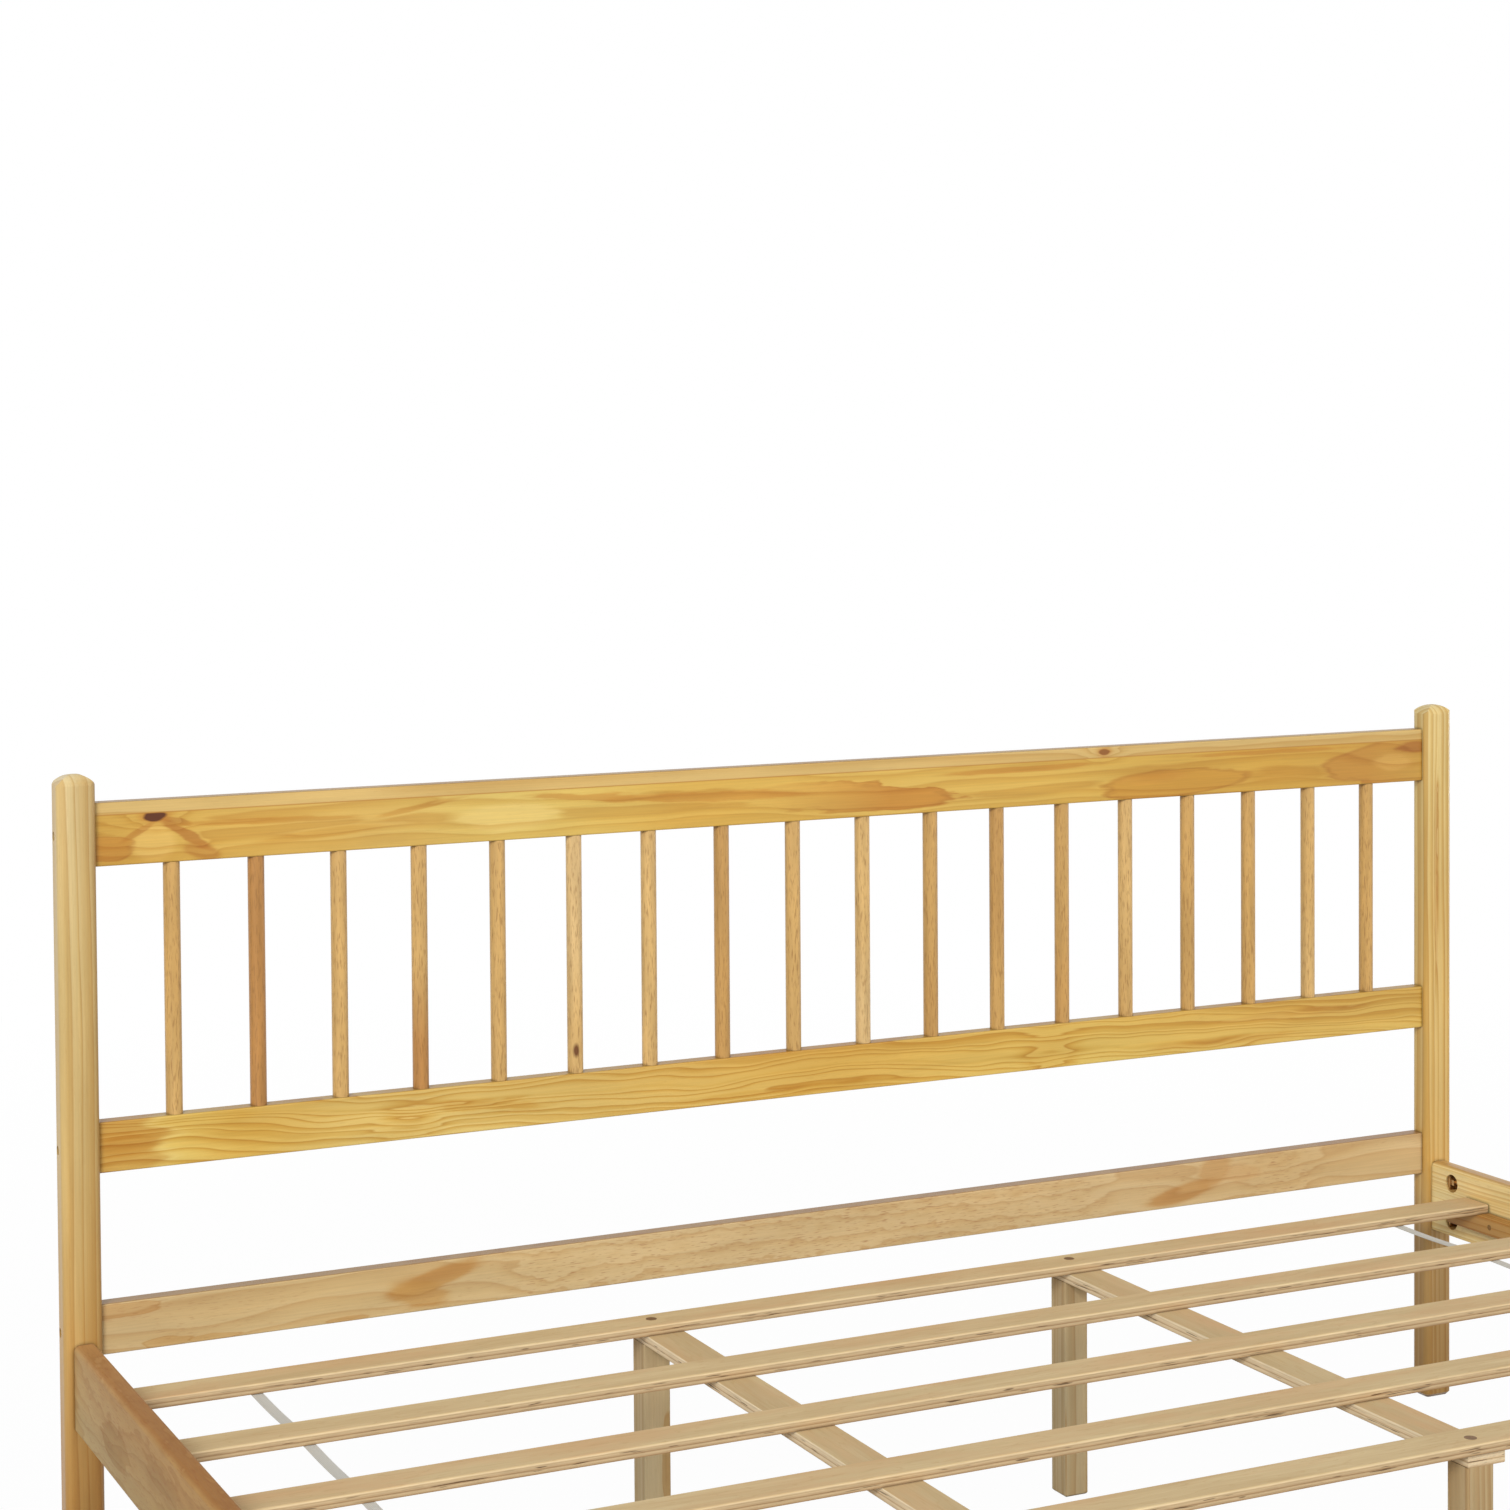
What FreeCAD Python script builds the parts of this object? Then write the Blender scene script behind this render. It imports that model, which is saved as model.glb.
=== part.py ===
import FreeCAD, Part
import os
import re
import Sketcher

# A king-size bed frame in clear-lacquered pine: a spindle headboard between two tall posts, two side
# rails on hanger bolts, a low foot end, and two sets of five plywood slats on ledgers, beams and legs.
# Millimetres. X runs across the bed, +Y towards the head, +Z up. The origin is on the floor, in the
# middle of the frame's length and width.

SIZES = {
    # the space between the posts
    "clear_width": 1940,          # between the inner faces of a pair of posts
    "rail_run": 2025,             # side rail, from the head post to the foot post
    # posts
    "post_width": 46,
    "post_depth": 35,
    "post_corner": 9,             # rounding of the four upright edges
    "post_rise": 35,              # from the topmost rail's upper edge to the post's top
    "dome_rise_across": 13,       # how far the domed top falls away at the sides
    "dome_rise_along": 13,        # and at the front and the back
    "foot_bevel": 5,              # bevel round the sole of a post
    # headboard rails and foot rail
    "board_thick": 22,
    "board_setback": 11,          # from the post's face on the bed's side to the rail's
    "board_arris": 2,
    "top_rail_height": 75,
    "top_rail_top": 980,
    "mid_rail_height": 60,
    "mid_rail_top": 604,
    "low_rail_height": 60,
    "low_rail_top": 389,
    "foot_rail_height": 100,      # its upper edge is level with the side rails
    # spindles
    "spindle_count": 18,
    "spindle_diameter": 20,
    "tenon_diameter": 12,
    "tenon_length": 15,
    "mortise_spare": 1,           # glue room under a tenon
    "mortise_play": 0.2,          # added to the tenon's diameter
    # side rails
    "side_thick": 26,
    "side_height": 100,
    "side_bottom": 248,           # above the floor
    "side_reveal": 11,            # how far the rail's outer face lies inside the post's
    "side_top_round": 7,
    "side_low_round": 2,
    # ledger strips inside the side rails
    "ledger_width": 22,
    "ledger_height": 25,
    "ledger_end_gap": 62,         # from a post to the strip's end
    "ledger_arris": 1.5,
    "ledger_screws": 6,
    "ledger_screw_margin": 90,    # from the strip's end to its first screw
    # slats
    "slats_per_set": 5,
    "slat_drop": 35,              # from the side rail's top to the slats' top
    "slat_width": 50,
    "slat_thick": 12,
    "slat_round": 2.5,            # rounding of the long upper edges
    "set_gap": 173,               # between the two sets of slats
    "slat_margin": 76,            # from a post's face to the nearest slat
    "slat_end_play": 2,           # between a slat's end and the side rail
    # beams and legs under each set of slats
    "beam_width": 50,
    "beam_thick": 14,
    "beam_offset": 304,           # from the bed's middle to a beam's middle
    "beam_end_inset": 3,          # from the outer slat's edge to the beam's end
    "beam_arris": 1.5,
    "leg_section": 35,
    "leg_arris": 2,
    # webbing under the slats
    "strap_width": 14,
    "strap_thick": 1.5,
    "strap_offset": 822,          # from the bed's middle to a strap's middle
    # bolts that pull the cross rails to the posts, with barrel nuts
    "rail_bolt_diameter": 6,
    "rail_bolt_length": 80,
    "rail_bolt_bore": 6.5,
    "rail_bore_depth": 50,
    "cap_diameter": 10,
    "cap_height": 6,
    "cap_socket": 5,              # across the flats
    "cap_socket_depth": 3.5,
    "counterbore_diameter": 11,
    "counterbore_depth": 10,
    "barrel_diameter": 10,
    "barrel_length": 16,
    "barrel_inset": 34,           # from the rail's end to the barrel nut's middle
    "barrel_play": 0.3,
    # hanger bolts that carry the side rails, with half-moon washers and nuts
    "hanger_diameter": 8,
    "hanger_in_post": 22,
    "hanger_in_rail": 52,
    "hanger_bevel": 1,            # at both ends of a hanger bolt
    "hanger_bore": 9,
    "hanger_post_play": 0.2,
    "hanger_spacing": 54,         # between the upper and the lower bolt
    "hanger_depth": 11,           # from the rail's inner face to the bolt's middle
    "pocket_diameter": 26,
    "pocket_depth": 20,
    "pocket_inset": 44,           # from the rail's end to the pocket's middle
    "washer_play": 0.3,           # between the washer's round back and the pocket
    "washer_thick": 6,
    "washer_length": 16,
    "nut_flats": 13,              # across the flats
    "nut_height": 6.5,
    # screws
    "leg_screw_diameter": 6,
    "leg_screw_head": 14,
    "leg_screw_length": 55,
    "ledger_screw_diameter": 4,
    "ledger_screw_head": 8,
    "ledger_screw_length": 38,
    "screw_tip": 5,
    "screw_spare": 1,             # empty end of a bore under a screw's tip
    "screw_play": 0.2,            # added to a screw's diameter for its bore
}

SIDES = {"left": -1, "right": 1}
ENDS = {"head": 1, "foot": -1}

doc = FreeCAD.newDocument("SpindleBed")
subparts = []


def write_sheet():
    """Put the driving dimensions in the spreadsheet, one row each, with the name as its alias."""
    sheet = doc.addObject("Spreadsheet::Sheet", "Sizes")
    for row, (name, value) in enumerate(SIZES.items(), start=1):
        sheet.set(f"A{row}", name)
        sheet.set(f"B{row}", str(value))
        sheet.setAlias(f"B{row}", name)


# ---- expressions -------------------------------------------------------------------------------

# Places and sizes that several pieces share, each in terms of the driving dimensions.
SIDE_INNER_X = "(clear_width / 2 + post_width - side_reveal - side_thick)"
SIDE_TOP = "(side_bottom + side_height)"
SLAT_TOP = f"({SIDE_TOP} - slat_drop)"
SLAT_BOTTOM = f"({SLAT_TOP} - slat_thick)"
BEAM_BOTTOM = f"({SLAT_BOTTOM} - beam_thick)"
SLAT_LENGTH = f"(2 * {SIDE_INNER_X} - 2 * slat_end_play)"
SET_LENGTH = "((rail_run - set_gap) / 2 - slat_margin)"
SET_HEAD_Y = "(rail_run / 2 - slat_margin)"
SLAT_PITCH = f"(({SET_LENGTH} - slat_width) / (slats_per_set - 1))"
BEAM_LENGTH = f"({SET_LENGTH} - 2 * beam_end_inset)"
SPINDLE_GAP = "((clear_width - spindle_count * spindle_diameter) / (spindle_count + 1))"
SPINDLE_PITCH = f"({SPINDLE_GAP} + spindle_diameter)"
SPINDLE_FIRST_X = f"(clear_width / 2 - {SPINDLE_GAP} - spindle_diameter / 2)"
BOARD_MIDDLE_Y = "(rail_run / 2 + board_setback + board_thick / 2)"
HANGER_X = f"({SIDE_INNER_X} + hanger_depth)"
LEDGER_LENGTH = "(rail_run - 2 * ledger_end_gap)"
LEDGER_SCREW_SPAN = f"({LEDGER_LENGTH} - 2 * ledger_screw_margin)"
HANGER_LEVELS = ("(side_height / 2 - hanger_spacing / 2)", "(side_height / 2 + hanger_spacing / 2)")
BOARD_TOPS = {"top": "top_rail_top", "mid": "mid_rail_top", "low": "low_rail_top", "foot": SIDE_TOP}
BOARDS = {"head": ("top", "mid", "low"), "foot": ("foot",)}
BOARD_LEVELS = {
    end: [f"({BOARD_TOPS[rail]} - {rail}_rail_height / 2)" for rail in rails]
    for end, rails in BOARDS.items()
}
POST_HEIGHTS = {end: f"({BOARD_TOPS[rails[0]]} + post_rise)" for end, rails in BOARDS.items()}


def formula(text):
    """Turn a formula in bare size names into one that reads the spreadsheet."""
    return re.sub(r"[a-z]+(_[a-z]+)+", lambda name: "Sizes." + name.group(0), text)


def bind(thing, **formulas):
    """Bind properties of an object to formulas; a double underscore stands for a dot."""
    for path, text in formulas.items():
        thing.setExpression(path.replace("__", "."), formula(text))


def signed(sign, text):
    return text if sign > 0 else f"-{text}"


def place(thing, x="0", y="0", z="0"):
    bind(thing, Placement__Base__x=x, Placement__Base__y=y, Placement__Base__z=z)


# ---- bodies and sketches -----------------------------------------------------------------------

def new_body(name):
    body = doc.addObject("PartDesign::Body", name)
    body.Label = name
    return body


def origin_item(body, role):
    return next(item for item in body.Origin.OriginFeatures if item.Role == role)


def new_sketch(body, plane, offset=None):
    """A sketch on one of the body's own origin planes, moved along the plane's normal by offset."""
    sketch = body.newObject("Sketcher::SketchObject", f"{body.Name}_sketch")
    sketch.AttachmentSupport = [(origin_item(body, f"{plane}_Plane"), "")]
    sketch.MapMode = "FlatFace"
    if offset:
        bind(sketch, AttachmentOffset__Base__z=offset)
    return sketch


def set_coordinate(sketch, kind, geometry, corner, text, now=1.0):
    """Hold one coordinate of a point: on the axis for "0", else at a distance from the origin."""
    if text == "0":
        aligned = "Vertical" if kind == "DistanceX" else "Horizontal"
        sketch.addConstraint(Sketcher.Constraint(aligned, -1, 1, geometry, corner))
        return
    ends = (geometry, corner, -1, 1) if text.startswith("-") else (-1, 1, geometry, corner)
    index = sketch.addConstraint(Sketcher.Constraint(kind, *ends, now))
    bind_constraint(sketch, index, text.lstrip("-"))


def bind_constraint(sketch, index, text):
    sketch.setExpression(f"Constraints[{index}]", formula(text))


def hold_point(sketch, geometry, corner, point, now=(1.0, 1.0)):
    set_coordinate(sketch, "DistanceX", geometry, corner, point[0], now[0])
    set_coordinate(sketch, "DistanceY", geometry, corner, point[1], now[1])


def draw_polygon(sketch, points):
    """Draw a closed outline through points, each a pair of formulas."""
    def start(index, sign):
        return -20.0 if points[index][sign].startswith("-") else 10.0 * index + 5.0

    first = sketch.GeometryCount
    count = len(points)
    corners = [FreeCAD.Vector(start(i, 0), start(i, 1), 0) for i in range(count)]
    for index in range(count):
        sketch.addGeometry(Part.LineSegment(corners[index], corners[(index + 1) % count]), False)
    for index in range(count):
        following = first + (index + 1) % count
        sketch.addConstraint(Sketcher.Constraint("Coincident", first + index, 2, following, 1))
    for index, point in enumerate(points):
        hold_point(sketch, first + index, 1, point)


def draw_box(sketch, x_low, y_low, x_high, y_high):
    draw_polygon(sketch, [(x_low, y_low), (x_high, y_low), (x_high, y_high), (x_low, y_high)])


def draw_circle(sketch, centre, diameter):
    start = FreeCAD.Vector(*(-30.0 if text.startswith("-") else 30.0 for text in centre), 0)
    index = sketch.addGeometry(Part.Circle(start, FreeCAD.Vector(0, 0, 1), 5.0), False)
    hold_point(sketch, index, 3, centre)
    bind_constraint(sketch, sketch.addConstraint(Sketcher.Constraint("Diameter", index, 5.0)), diameter)


def pad(body, sketch, length, symmetric=False, reverse=False):
    feature = body.newObject("PartDesign::Pad", f"{body.Name}_pad")
    feature.Profile = sketch
    feature.Reversed = reverse
    if symmetric:
        feature.SideType = "Symmetric"
    bind(feature, Length=length)
    return feature


def pocket(body, sketch, depth=None, reverse=False):
    """Cut a sketch into the body: to a depth, or right through both ways."""
    feature = body.newObject("PartDesign::Pocket", f"{body.Name}_pocket")
    feature.Profile = sketch
    if depth:
        feature.Reversed = reverse
        bind(feature, Length=depth)
    else:
        feature.SideType = "Symmetric"
        feature.Type = "ThroughAll"
    return feature


def revolve(body, sketch):
    feature = body.newObject("PartDesign::Revolution", f"{body.Name}_turning")
    feature.Profile = sketch
    feature.ReferenceAxis = (sketch, ["V_Axis"])
    feature.Angle = 360
    return feature


def mirror(body, originals, plane):
    feature = body.newObject("PartDesign::Mirrored", f"{body.Name}_mirror")
    feature.Originals = originals
    feature.MirrorPlane = (origin_item(body, f"{plane}_Plane"), [""])
    body.Tip = feature
    return feature


def repeat(body, original, axis, length, count):
    feature = body.newObject("PartDesign::LinearPattern", f"{body.Name}_row")
    feature.Originals = [original]
    feature.Direction = (origin_item(body, f"{axis}_Axis"), [""])
    bind(feature, Length=length, Occurrences=count)
    body.Tip = feature
    return feature


def countersunk(body, sketch, diameter, head):
    """Bore countersunk screw holes right through, at the circles of a sketch."""
    doc.recompute()
    feature = body.newObject("PartDesign::Hole", f"{body.Name}_screw_hole")
    feature.Profile = sketch
    feature.Threaded = False
    feature.DepthType = "ThroughAll"
    feature.HoleCutType = "Countersink"
    feature.HoleCutCustomValues = True
    feature.HoleCutCountersinkAngle = 90
    bind(feature, Diameter=diameter, HoleCutDiameter=head)
    return feature


def edge_names(shape, wanted):
    return [f"Edge{i}" for i, edge in enumerate(shape.Edges, start=1) if wanted(edge)]


def runs_along(edge, axis):
    """Whether an edge is straight and parallel to an axis."""
    if not isinstance(edge.Curve, (Part.Line, Part.LineSegment)):
        return False
    first, last = edge.Vertexes[0].Point, edge.Vertexes[-1].Point
    return abs((last - first).normalize().dot(axis)) > 0.999


def fillet(body, radius, wanted):
    doc.recompute()
    base = body.Tip
    feature = body.newObject("PartDesign::Fillet", f"{body.Name}_round")
    feature.Base = (base, edge_names(base.Shape, wanted))
    bind(feature, Radius=radius)
    return feature


def bevel(body, size, wanted):
    doc.recompute()
    base = body.Tip
    feature = body.newObject("PartDesign::Chamfer", f"{body.Name}_bevel")
    feature.Base = (base, edge_names(base.Shape, wanted))
    bind(feature, Size=size)
    return feature


X_AXIS, Y_AXIS, Z_AXIS = (FreeCAD.Vector(*v) for v in ((1, 0, 0), (0, 1, 0), (0, 0, 1)))


def long_edges(axis):
    return lambda edge: runs_along(edge, axis)


def upper_edges(axis, level):
    return lambda edge: runs_along(edge, axis) and edge.BoundBox.ZMin > level


def lower_edges(axis, level):
    return lambda edge: runs_along(edge, axis) and edge.BoundBox.ZMax < level


def sole_edges(edge):
    return edge.BoundBox.ZMax < 1e-6


def subpart(thing):
    """Count an object among the sub-parts, each written to a file named by its Label."""
    subparts.append(thing)
    return thing


# ---- posts -------------------------------------------------------------------------------------

def draw_dome_waste(sketch, width, height, rise, tall):
    """What lies above the arch of a post's top, between its two faces; tall is the height's value now."""
    wide, fall = SIZES[width], SIZES[rise]
    radius = wide ** 2 / (8 * fall) + fall / 2
    corners = [(0, tall - fall), (0, tall + fall), (wide, tall + fall), (wide, tall - fall)]
    points = [FreeCAD.Vector(x, y, 0) for x, y in corners]
    for first, second in zip(points, points[1:]):
        sketch.addGeometry(Part.LineSegment(first, second), False)
    sketch.addGeometry(Part.Arc(points[3], FreeCAD.Vector(wide / 2, tall, 0), points[0]), False)
    for first, second in ((0, 1), (1, 2)):
        sketch.addConstraint(Sketcher.Constraint("Coincident", first, 2, second, 1))
    arc_ends = sorted((sketch.getPoint(3, end).x, end) for end in (1, 2))
    sketch.addConstraint(Sketcher.Constraint("Coincident", 3, arc_ends[0][1], 0, 1))
    sketch.addConstraint(Sketcher.Constraint("Coincident", 3, arc_ends[1][1], 2, 2))
    spring, crown = f"({height} - {rise})", f"({height} + {rise})"
    for line, end, point, now in ((0, 1, ("0", spring), corners[0]), (0, 2, ("0", crown), corners[1]),
                                  (1, 2, (width, crown), corners[2]), (2, 2, (width, spring), corners[3])):
        hold_point(sketch, line, end, point, now)
    centre_level = f"({height} - {width} ^ 2 / (8 * {rise}) - {rise} / 2)"
    set_coordinate(sketch, "DistanceY", 3, 3, centre_level, tall - radius)


def make_post(end, side):
    """A rounded post with a domed top, with its outer face and its bed side to suit its corner.

    Its left corner nearest the foot is at the local origin, whichever way round the post stands.
    """
    height = POST_HEIGHTS[end]
    body = new_body(f"{end}_post_{side}")
    plan = new_sketch(body, "XY")
    draw_box(plan, "0", "0", "post_width", "post_depth")
    upright = pad(body, plan, height)
    doc.recompute()
    for plane, width, rise in (("XZ", "post_width", "dome_rise_across"),
                               ("YZ", "post_depth", "dome_rise_along")):
        waste = new_sketch(body, plane)
        draw_dome_waste(waste, width, height, rise, upright.Length.Value)
        pocket(body, waste)
    fillet(body, "post_corner", long_edges(Z_AXIS))
    bevel(body, "foot_bevel", sole_edges)
    cut_board_bolt_holes(body, end, side)
    cut_hanger_holes(body, end, side)
    x_low = "-(clear_width / 2 + post_width)" if side == "left" else "clear_width / 2"
    y_low = "rail_run / 2" if end == "head" else "-(rail_run / 2 + post_depth)"
    place(body, x_low, y_low)
    return subpart(body)


def cut_board_bolt_holes(body, end, side):
    """Counterbored bores from the outer face, one for each cross rail."""
    y_middle = "(board_setback + board_thick / 2)"
    if end == "foot":
        y_middle = f"(post_depth - {y_middle})"
    for diameter, depth in (("rail_bolt_bore", "post_width"), ("counterbore_diameter", "counterbore_depth")):
        sketch = new_sketch(body, "YZ", None if side == "left" else "post_width")
        for level in BOARD_LEVELS[end]:
            draw_circle(sketch, (y_middle, level), diameter)
        pocket(body, sketch, depth, reverse=side == "left")


def cut_hanger_holes(body, end, side):
    """Blind bores for the two hanger bolts, in the face that the side rail butts against."""
    sketch = new_sketch(body, "XZ", None if end == "head" else "-post_depth")
    x_middle = "(side_reveal + side_thick - hanger_depth)"
    if side == "right":
        x_middle = f"(post_width - {x_middle})"
    for level in HANGER_LEVELS:
        draw_circle(sketch, (x_middle, f"(side_bottom + {level})"), "(hanger_diameter + hanger_post_play)")
    pocket(body, sketch, "hanger_in_post", reverse=end == "foot")


# ---- cross rails and spindles ------------------------------------------------------------------

def make_cross_rail(rail, end):
    """A board between two posts, bored at both ends for its bolts and their barrel nuts."""
    height = f"{rail}_rail_height"
    body = new_body(f"{end}_{rail}_rail" if end == "head" else "foot_rail")
    section = new_sketch(body, "YZ")
    draw_box(section, "-board_thick", "0", "0", height)
    pad(body, section, "clear_width", symmetric=True)
    fillet(body, "board_arris", long_edges(X_AXIS))
    bore_sketch = new_sketch(body, "YZ", "-clear_width / 2")
    draw_circle(bore_sketch, ("-(board_thick / 2)", f"({height} / 2)"), "rail_bolt_bore")
    bore = pocket(body, bore_sketch, "rail_bore_depth", reverse=True)
    barrel_sketch = new_sketch(body, "XZ")
    barrel_centre = ("-(clear_width / 2 - barrel_inset)", f"({height} / 2)")
    draw_circle(barrel_sketch, barrel_centre, "(barrel_diameter + barrel_play)")
    barrel = pocket(body, barrel_sketch, "(board_thick + barrel_length) / 2", reverse=True)
    mirror(body, [bore, barrel], "YZ")
    middle_y = BOARD_MIDDLE_Y if end == "head" else f"-{BOARD_MIDDLE_Y}"
    place(body, "0", f"{middle_y} + board_thick / 2", f"{BOARD_TOPS[rail]} - {height}")
    return subpart(body)


def cut_mortises(body, face_level, reverse):
    """A row of round mortises for the spindles, in the rail's edge at face_level."""
    sketch = new_sketch(body, "XY", face_level)
    centre = (f"-{SPINDLE_FIRST_X}", "-(board_thick / 2)")
    draw_circle(sketch, centre, "(tenon_diameter + mortise_play)")
    mortise = pocket(body, sketch, "(tenon_length + mortise_spare)", reverse=reverse)
    repeat(body, mortise, "X", f"(spindle_count - 1) * {SPINDLE_PITCH}", "spindle_count")


def make_spindle(index):
    """A round spindle with a tenon at each end, its lower shoulder at the local origin."""
    body = new_body(f"spindle_{index + 1:02d}")
    length = "(top_rail_top - top_rail_height - mid_rail_top)"
    tenon, full = "(tenon_diameter / 2)", "(spindle_diameter / 2)"
    profile = new_sketch(body, "XZ")
    draw_polygon(profile, [
        ("0", "-tenon_length"), (tenon, "-tenon_length"), (tenon, "0"), (full, "0"),
        (full, length), (tenon, length), (tenon, f"({length} + tenon_length)"),
        ("0", f"({length} + tenon_length)"),
    ])
    revolve(body, profile)
    place(body, f"{index} * {SPINDLE_PITCH} - {SPINDLE_FIRST_X}", BOARD_MIDDLE_Y, "mid_rail_top")
    return subpart(body)


# ---- side rails and ledgers --------------------------------------------------------------------

def make_side_rail(side):
    """A side rail; its inner face is the local YZ plane, its lower edge is at the origin's level."""
    body = new_body(f"side_rail_{side}")
    into_wood = side == "right"
    section = new_sketch(body, "XZ")
    if side == "left":
        draw_box(section, "-side_thick", "0", "0", "side_height")
    else:
        draw_box(section, "0", "0", "side_thick", "side_height")
    pad(body, section, "rail_run", symmetric=True)
    fillet(body, "side_top_round", upper_edges(Y_AXIS, SIZES["side_height"] / 2))
    fillet(body, "side_low_round", lower_edges(Y_AXIS, SIZES["side_height"] / 2))
    pocket_sketch = new_sketch(body, "YZ")
    bore_sketch = new_sketch(body, "XZ", "-rail_run / 2")
    for level in HANGER_LEVELS:
        draw_circle(pocket_sketch, ("(rail_run / 2 - pocket_inset)", level), "pocket_diameter")
        draw_circle(bore_sketch, (signed(SIDES[side], "hanger_depth"), level), "hanger_bore")
    pockets = pocket(body, pocket_sketch, "pocket_depth", reverse=into_wood)
    bores = pocket(body, bore_sketch, "pocket_inset", reverse=True)
    mirror(body, [pockets, bores], "XZ")
    pilot_sketch = new_sketch(body, "YZ")
    pilot_level = f"({SLAT_BOTTOM} - ledger_height / 2 - side_bottom)"
    pilot_centre = (f"-({LEDGER_SCREW_SPAN} / 2)", pilot_level)
    draw_circle(pilot_sketch, pilot_centre, "(ledger_screw_diameter + screw_play)")
    pilot_depth = "(ledger_screw_length - ledger_width + screw_spare)"
    pilot = pocket(body, pilot_sketch, pilot_depth, reverse=into_wood)
    repeat(body, pilot, "Y", LEDGER_SCREW_SPAN, "ledger_screws")
    place(body, signed(SIDES[side], SIDE_INNER_X), "0", "side_bottom")
    return subpart(body)


def make_ledger(side):
    """The strip that the slats lie on, screwed to the side rail's inner face."""
    body = new_body(f"ledger_{side}")
    section = new_sketch(body, "XZ")
    if side == "left":
        draw_box(section, "0", "0", "ledger_width", "ledger_height")
    else:
        draw_box(section, "-ledger_width", "0", "0", "ledger_height")
    pad(body, section, LEDGER_LENGTH, symmetric=True)
    fillet(body, "ledger_arris", long_edges(Y_AXIS))
    holes = new_sketch(body, "YZ", "ledger_width" if side == "left" else "-ledger_width")
    draw_circle(holes, (f"-({LEDGER_SCREW_SPAN} / 2)", "(ledger_height / 2)"), "ledger_screw_diameter")
    hole = countersunk(body, holes, "ledger_screw_diameter + screw_play", "ledger_screw_head")
    hole.Reversed = side == "right"
    repeat(body, hole, "Y", LEDGER_SCREW_SPAN, "ledger_screws")
    place(body, signed(SIDES[side], SIDE_INNER_X), "0", f"{SLAT_BOTTOM} - ledger_height")
    return subpart(body)


# ---- slats, beams, legs and webbing ------------------------------------------------------------

def leg_x(side):
    """Middle of a leg across the bed: each leg is flush with the left side of its beam."""
    overhang = "(beam_width / 2 - leg_section / 2)"
    return f"(beam_offset - {overhang})" if side == "right" else f"-(beam_offset + {overhang})"


def leg_y(end, place_in_set):
    """Middle of a leg along the bed, under the outer or the inner slat of a set."""
    outer = f"({SET_HEAD_Y} - beam_end_inset - leg_section / 2)"
    inner = f"({SET_HEAD_Y} - {SET_LENGTH} + beam_end_inset + leg_section / 2)"
    return signed(ENDS[end], outer if place_in_set == "outer" else inner)


def slat_y(end, step):
    """Middle of a slat along the bed, counted from the outer slat of its set."""
    return signed(ENDS[end], f"({SET_HEAD_Y} - slat_width / 2 - {step} * {SLAT_PITCH})")


def make_slat(number, end, step):
    """A plywood slat; the first and the last of a set are screwed through a beam into two legs."""
    body = new_body(f"slat_{number:02d}")
    section = new_sketch(body, "YZ")
    draw_box(section, "-(slat_width / 2)", "0", "(slat_width / 2)", "slat_thick")
    pad(body, section, SLAT_LENGTH, symmetric=True)
    fillet(body, "slat_round", upper_edges(X_AXIS, SIZES["slat_thick"] / 2))
    if step in (0, SIZES["slats_per_set"] - 1):
        holes = new_sketch(body, "XY", "slat_thick")
        offset = "(slat_width / 2 - beam_end_inset - leg_section / 2)"
        towards_head = (end == "head") == (step == 0)
        y_hole = offset if towards_head else f"-{offset}"
        for x_hole in (leg_x("left"), leg_x("right")):
            draw_circle(holes, (x_hole, y_hole), "leg_screw_diameter")
        countersunk(body, holes, "leg_screw_diameter + screw_play", "leg_screw_head")
    place(body, "0", slat_y(end, step), SLAT_BOTTOM)
    return subpart(body)


def make_beam(end, side):
    """A flat beam along the bed under one set of slats, flush on its legs."""
    body = new_body(f"beam_{end}_{side}")
    section = new_sketch(body, "XZ")
    draw_box(section, "-(beam_width / 2)", "0", "(beam_width / 2)", "beam_thick")
    pad(body, section, BEAM_LENGTH, symmetric=True)
    fillet(body, "beam_arris", long_edges(Y_AXIS))
    bores = new_sketch(body, "XY")
    x_bore = "-(beam_width / 2 - leg_section / 2)"
    y_bore = f"({BEAM_LENGTH} / 2 - leg_section / 2)"
    for y_middle in (y_bore, f"-{y_bore}"):
        draw_circle(bores, (x_bore, y_middle), "(leg_screw_diameter + screw_play)")
    pocket(body, bores)
    y_beam = signed(ENDS[end], f"({SET_HEAD_Y} - {SET_LENGTH} / 2)")
    place(body, signed(SIDES[side], "beam_offset"), y_beam, BEAM_BOTTOM)
    return subpart(body)


def make_leg(end, side, place_in_set):
    """A square leg from the floor to the underside of a beam, bored for its screw."""
    body = new_body(f"leg_{end}_{side}_{place_in_set}")
    plan = new_sketch(body, "XY")
    draw_box(plan, "-(leg_section / 2)", "-(leg_section / 2)", "(leg_section / 2)", "(leg_section / 2)")
    pad(body, plan, BEAM_BOTTOM)
    fillet(body, "leg_arris", long_edges(Z_AXIS))
    bevel(body, "leg_arris", sole_edges)
    bore = new_sketch(body, "XY", BEAM_BOTTOM)
    draw_circle(bore, ("0", "0"), "(leg_screw_diameter + screw_play)")
    pocket(body, bore, "(leg_screw_length - slat_thick - beam_thick + screw_spare)")
    place(body, leg_x(side), leg_y(end, place_in_set))
    return subpart(body)


# ---- patterns for what is used many times ------------------------------------------------------

def draw_hexagon(sketch, flats):
    half, low, high = f"({flats} / 2)", f"({flats} / sqrt(12))", f"({flats} / sqrt(3))"
    draw_polygon(sketch, [
        ("0", f"-{high}"), (half, f"-{low}"), (half, low),
        ("0", high), (f"-{half}", low), (f"-{half}", f"-{low}"),
    ])


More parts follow.
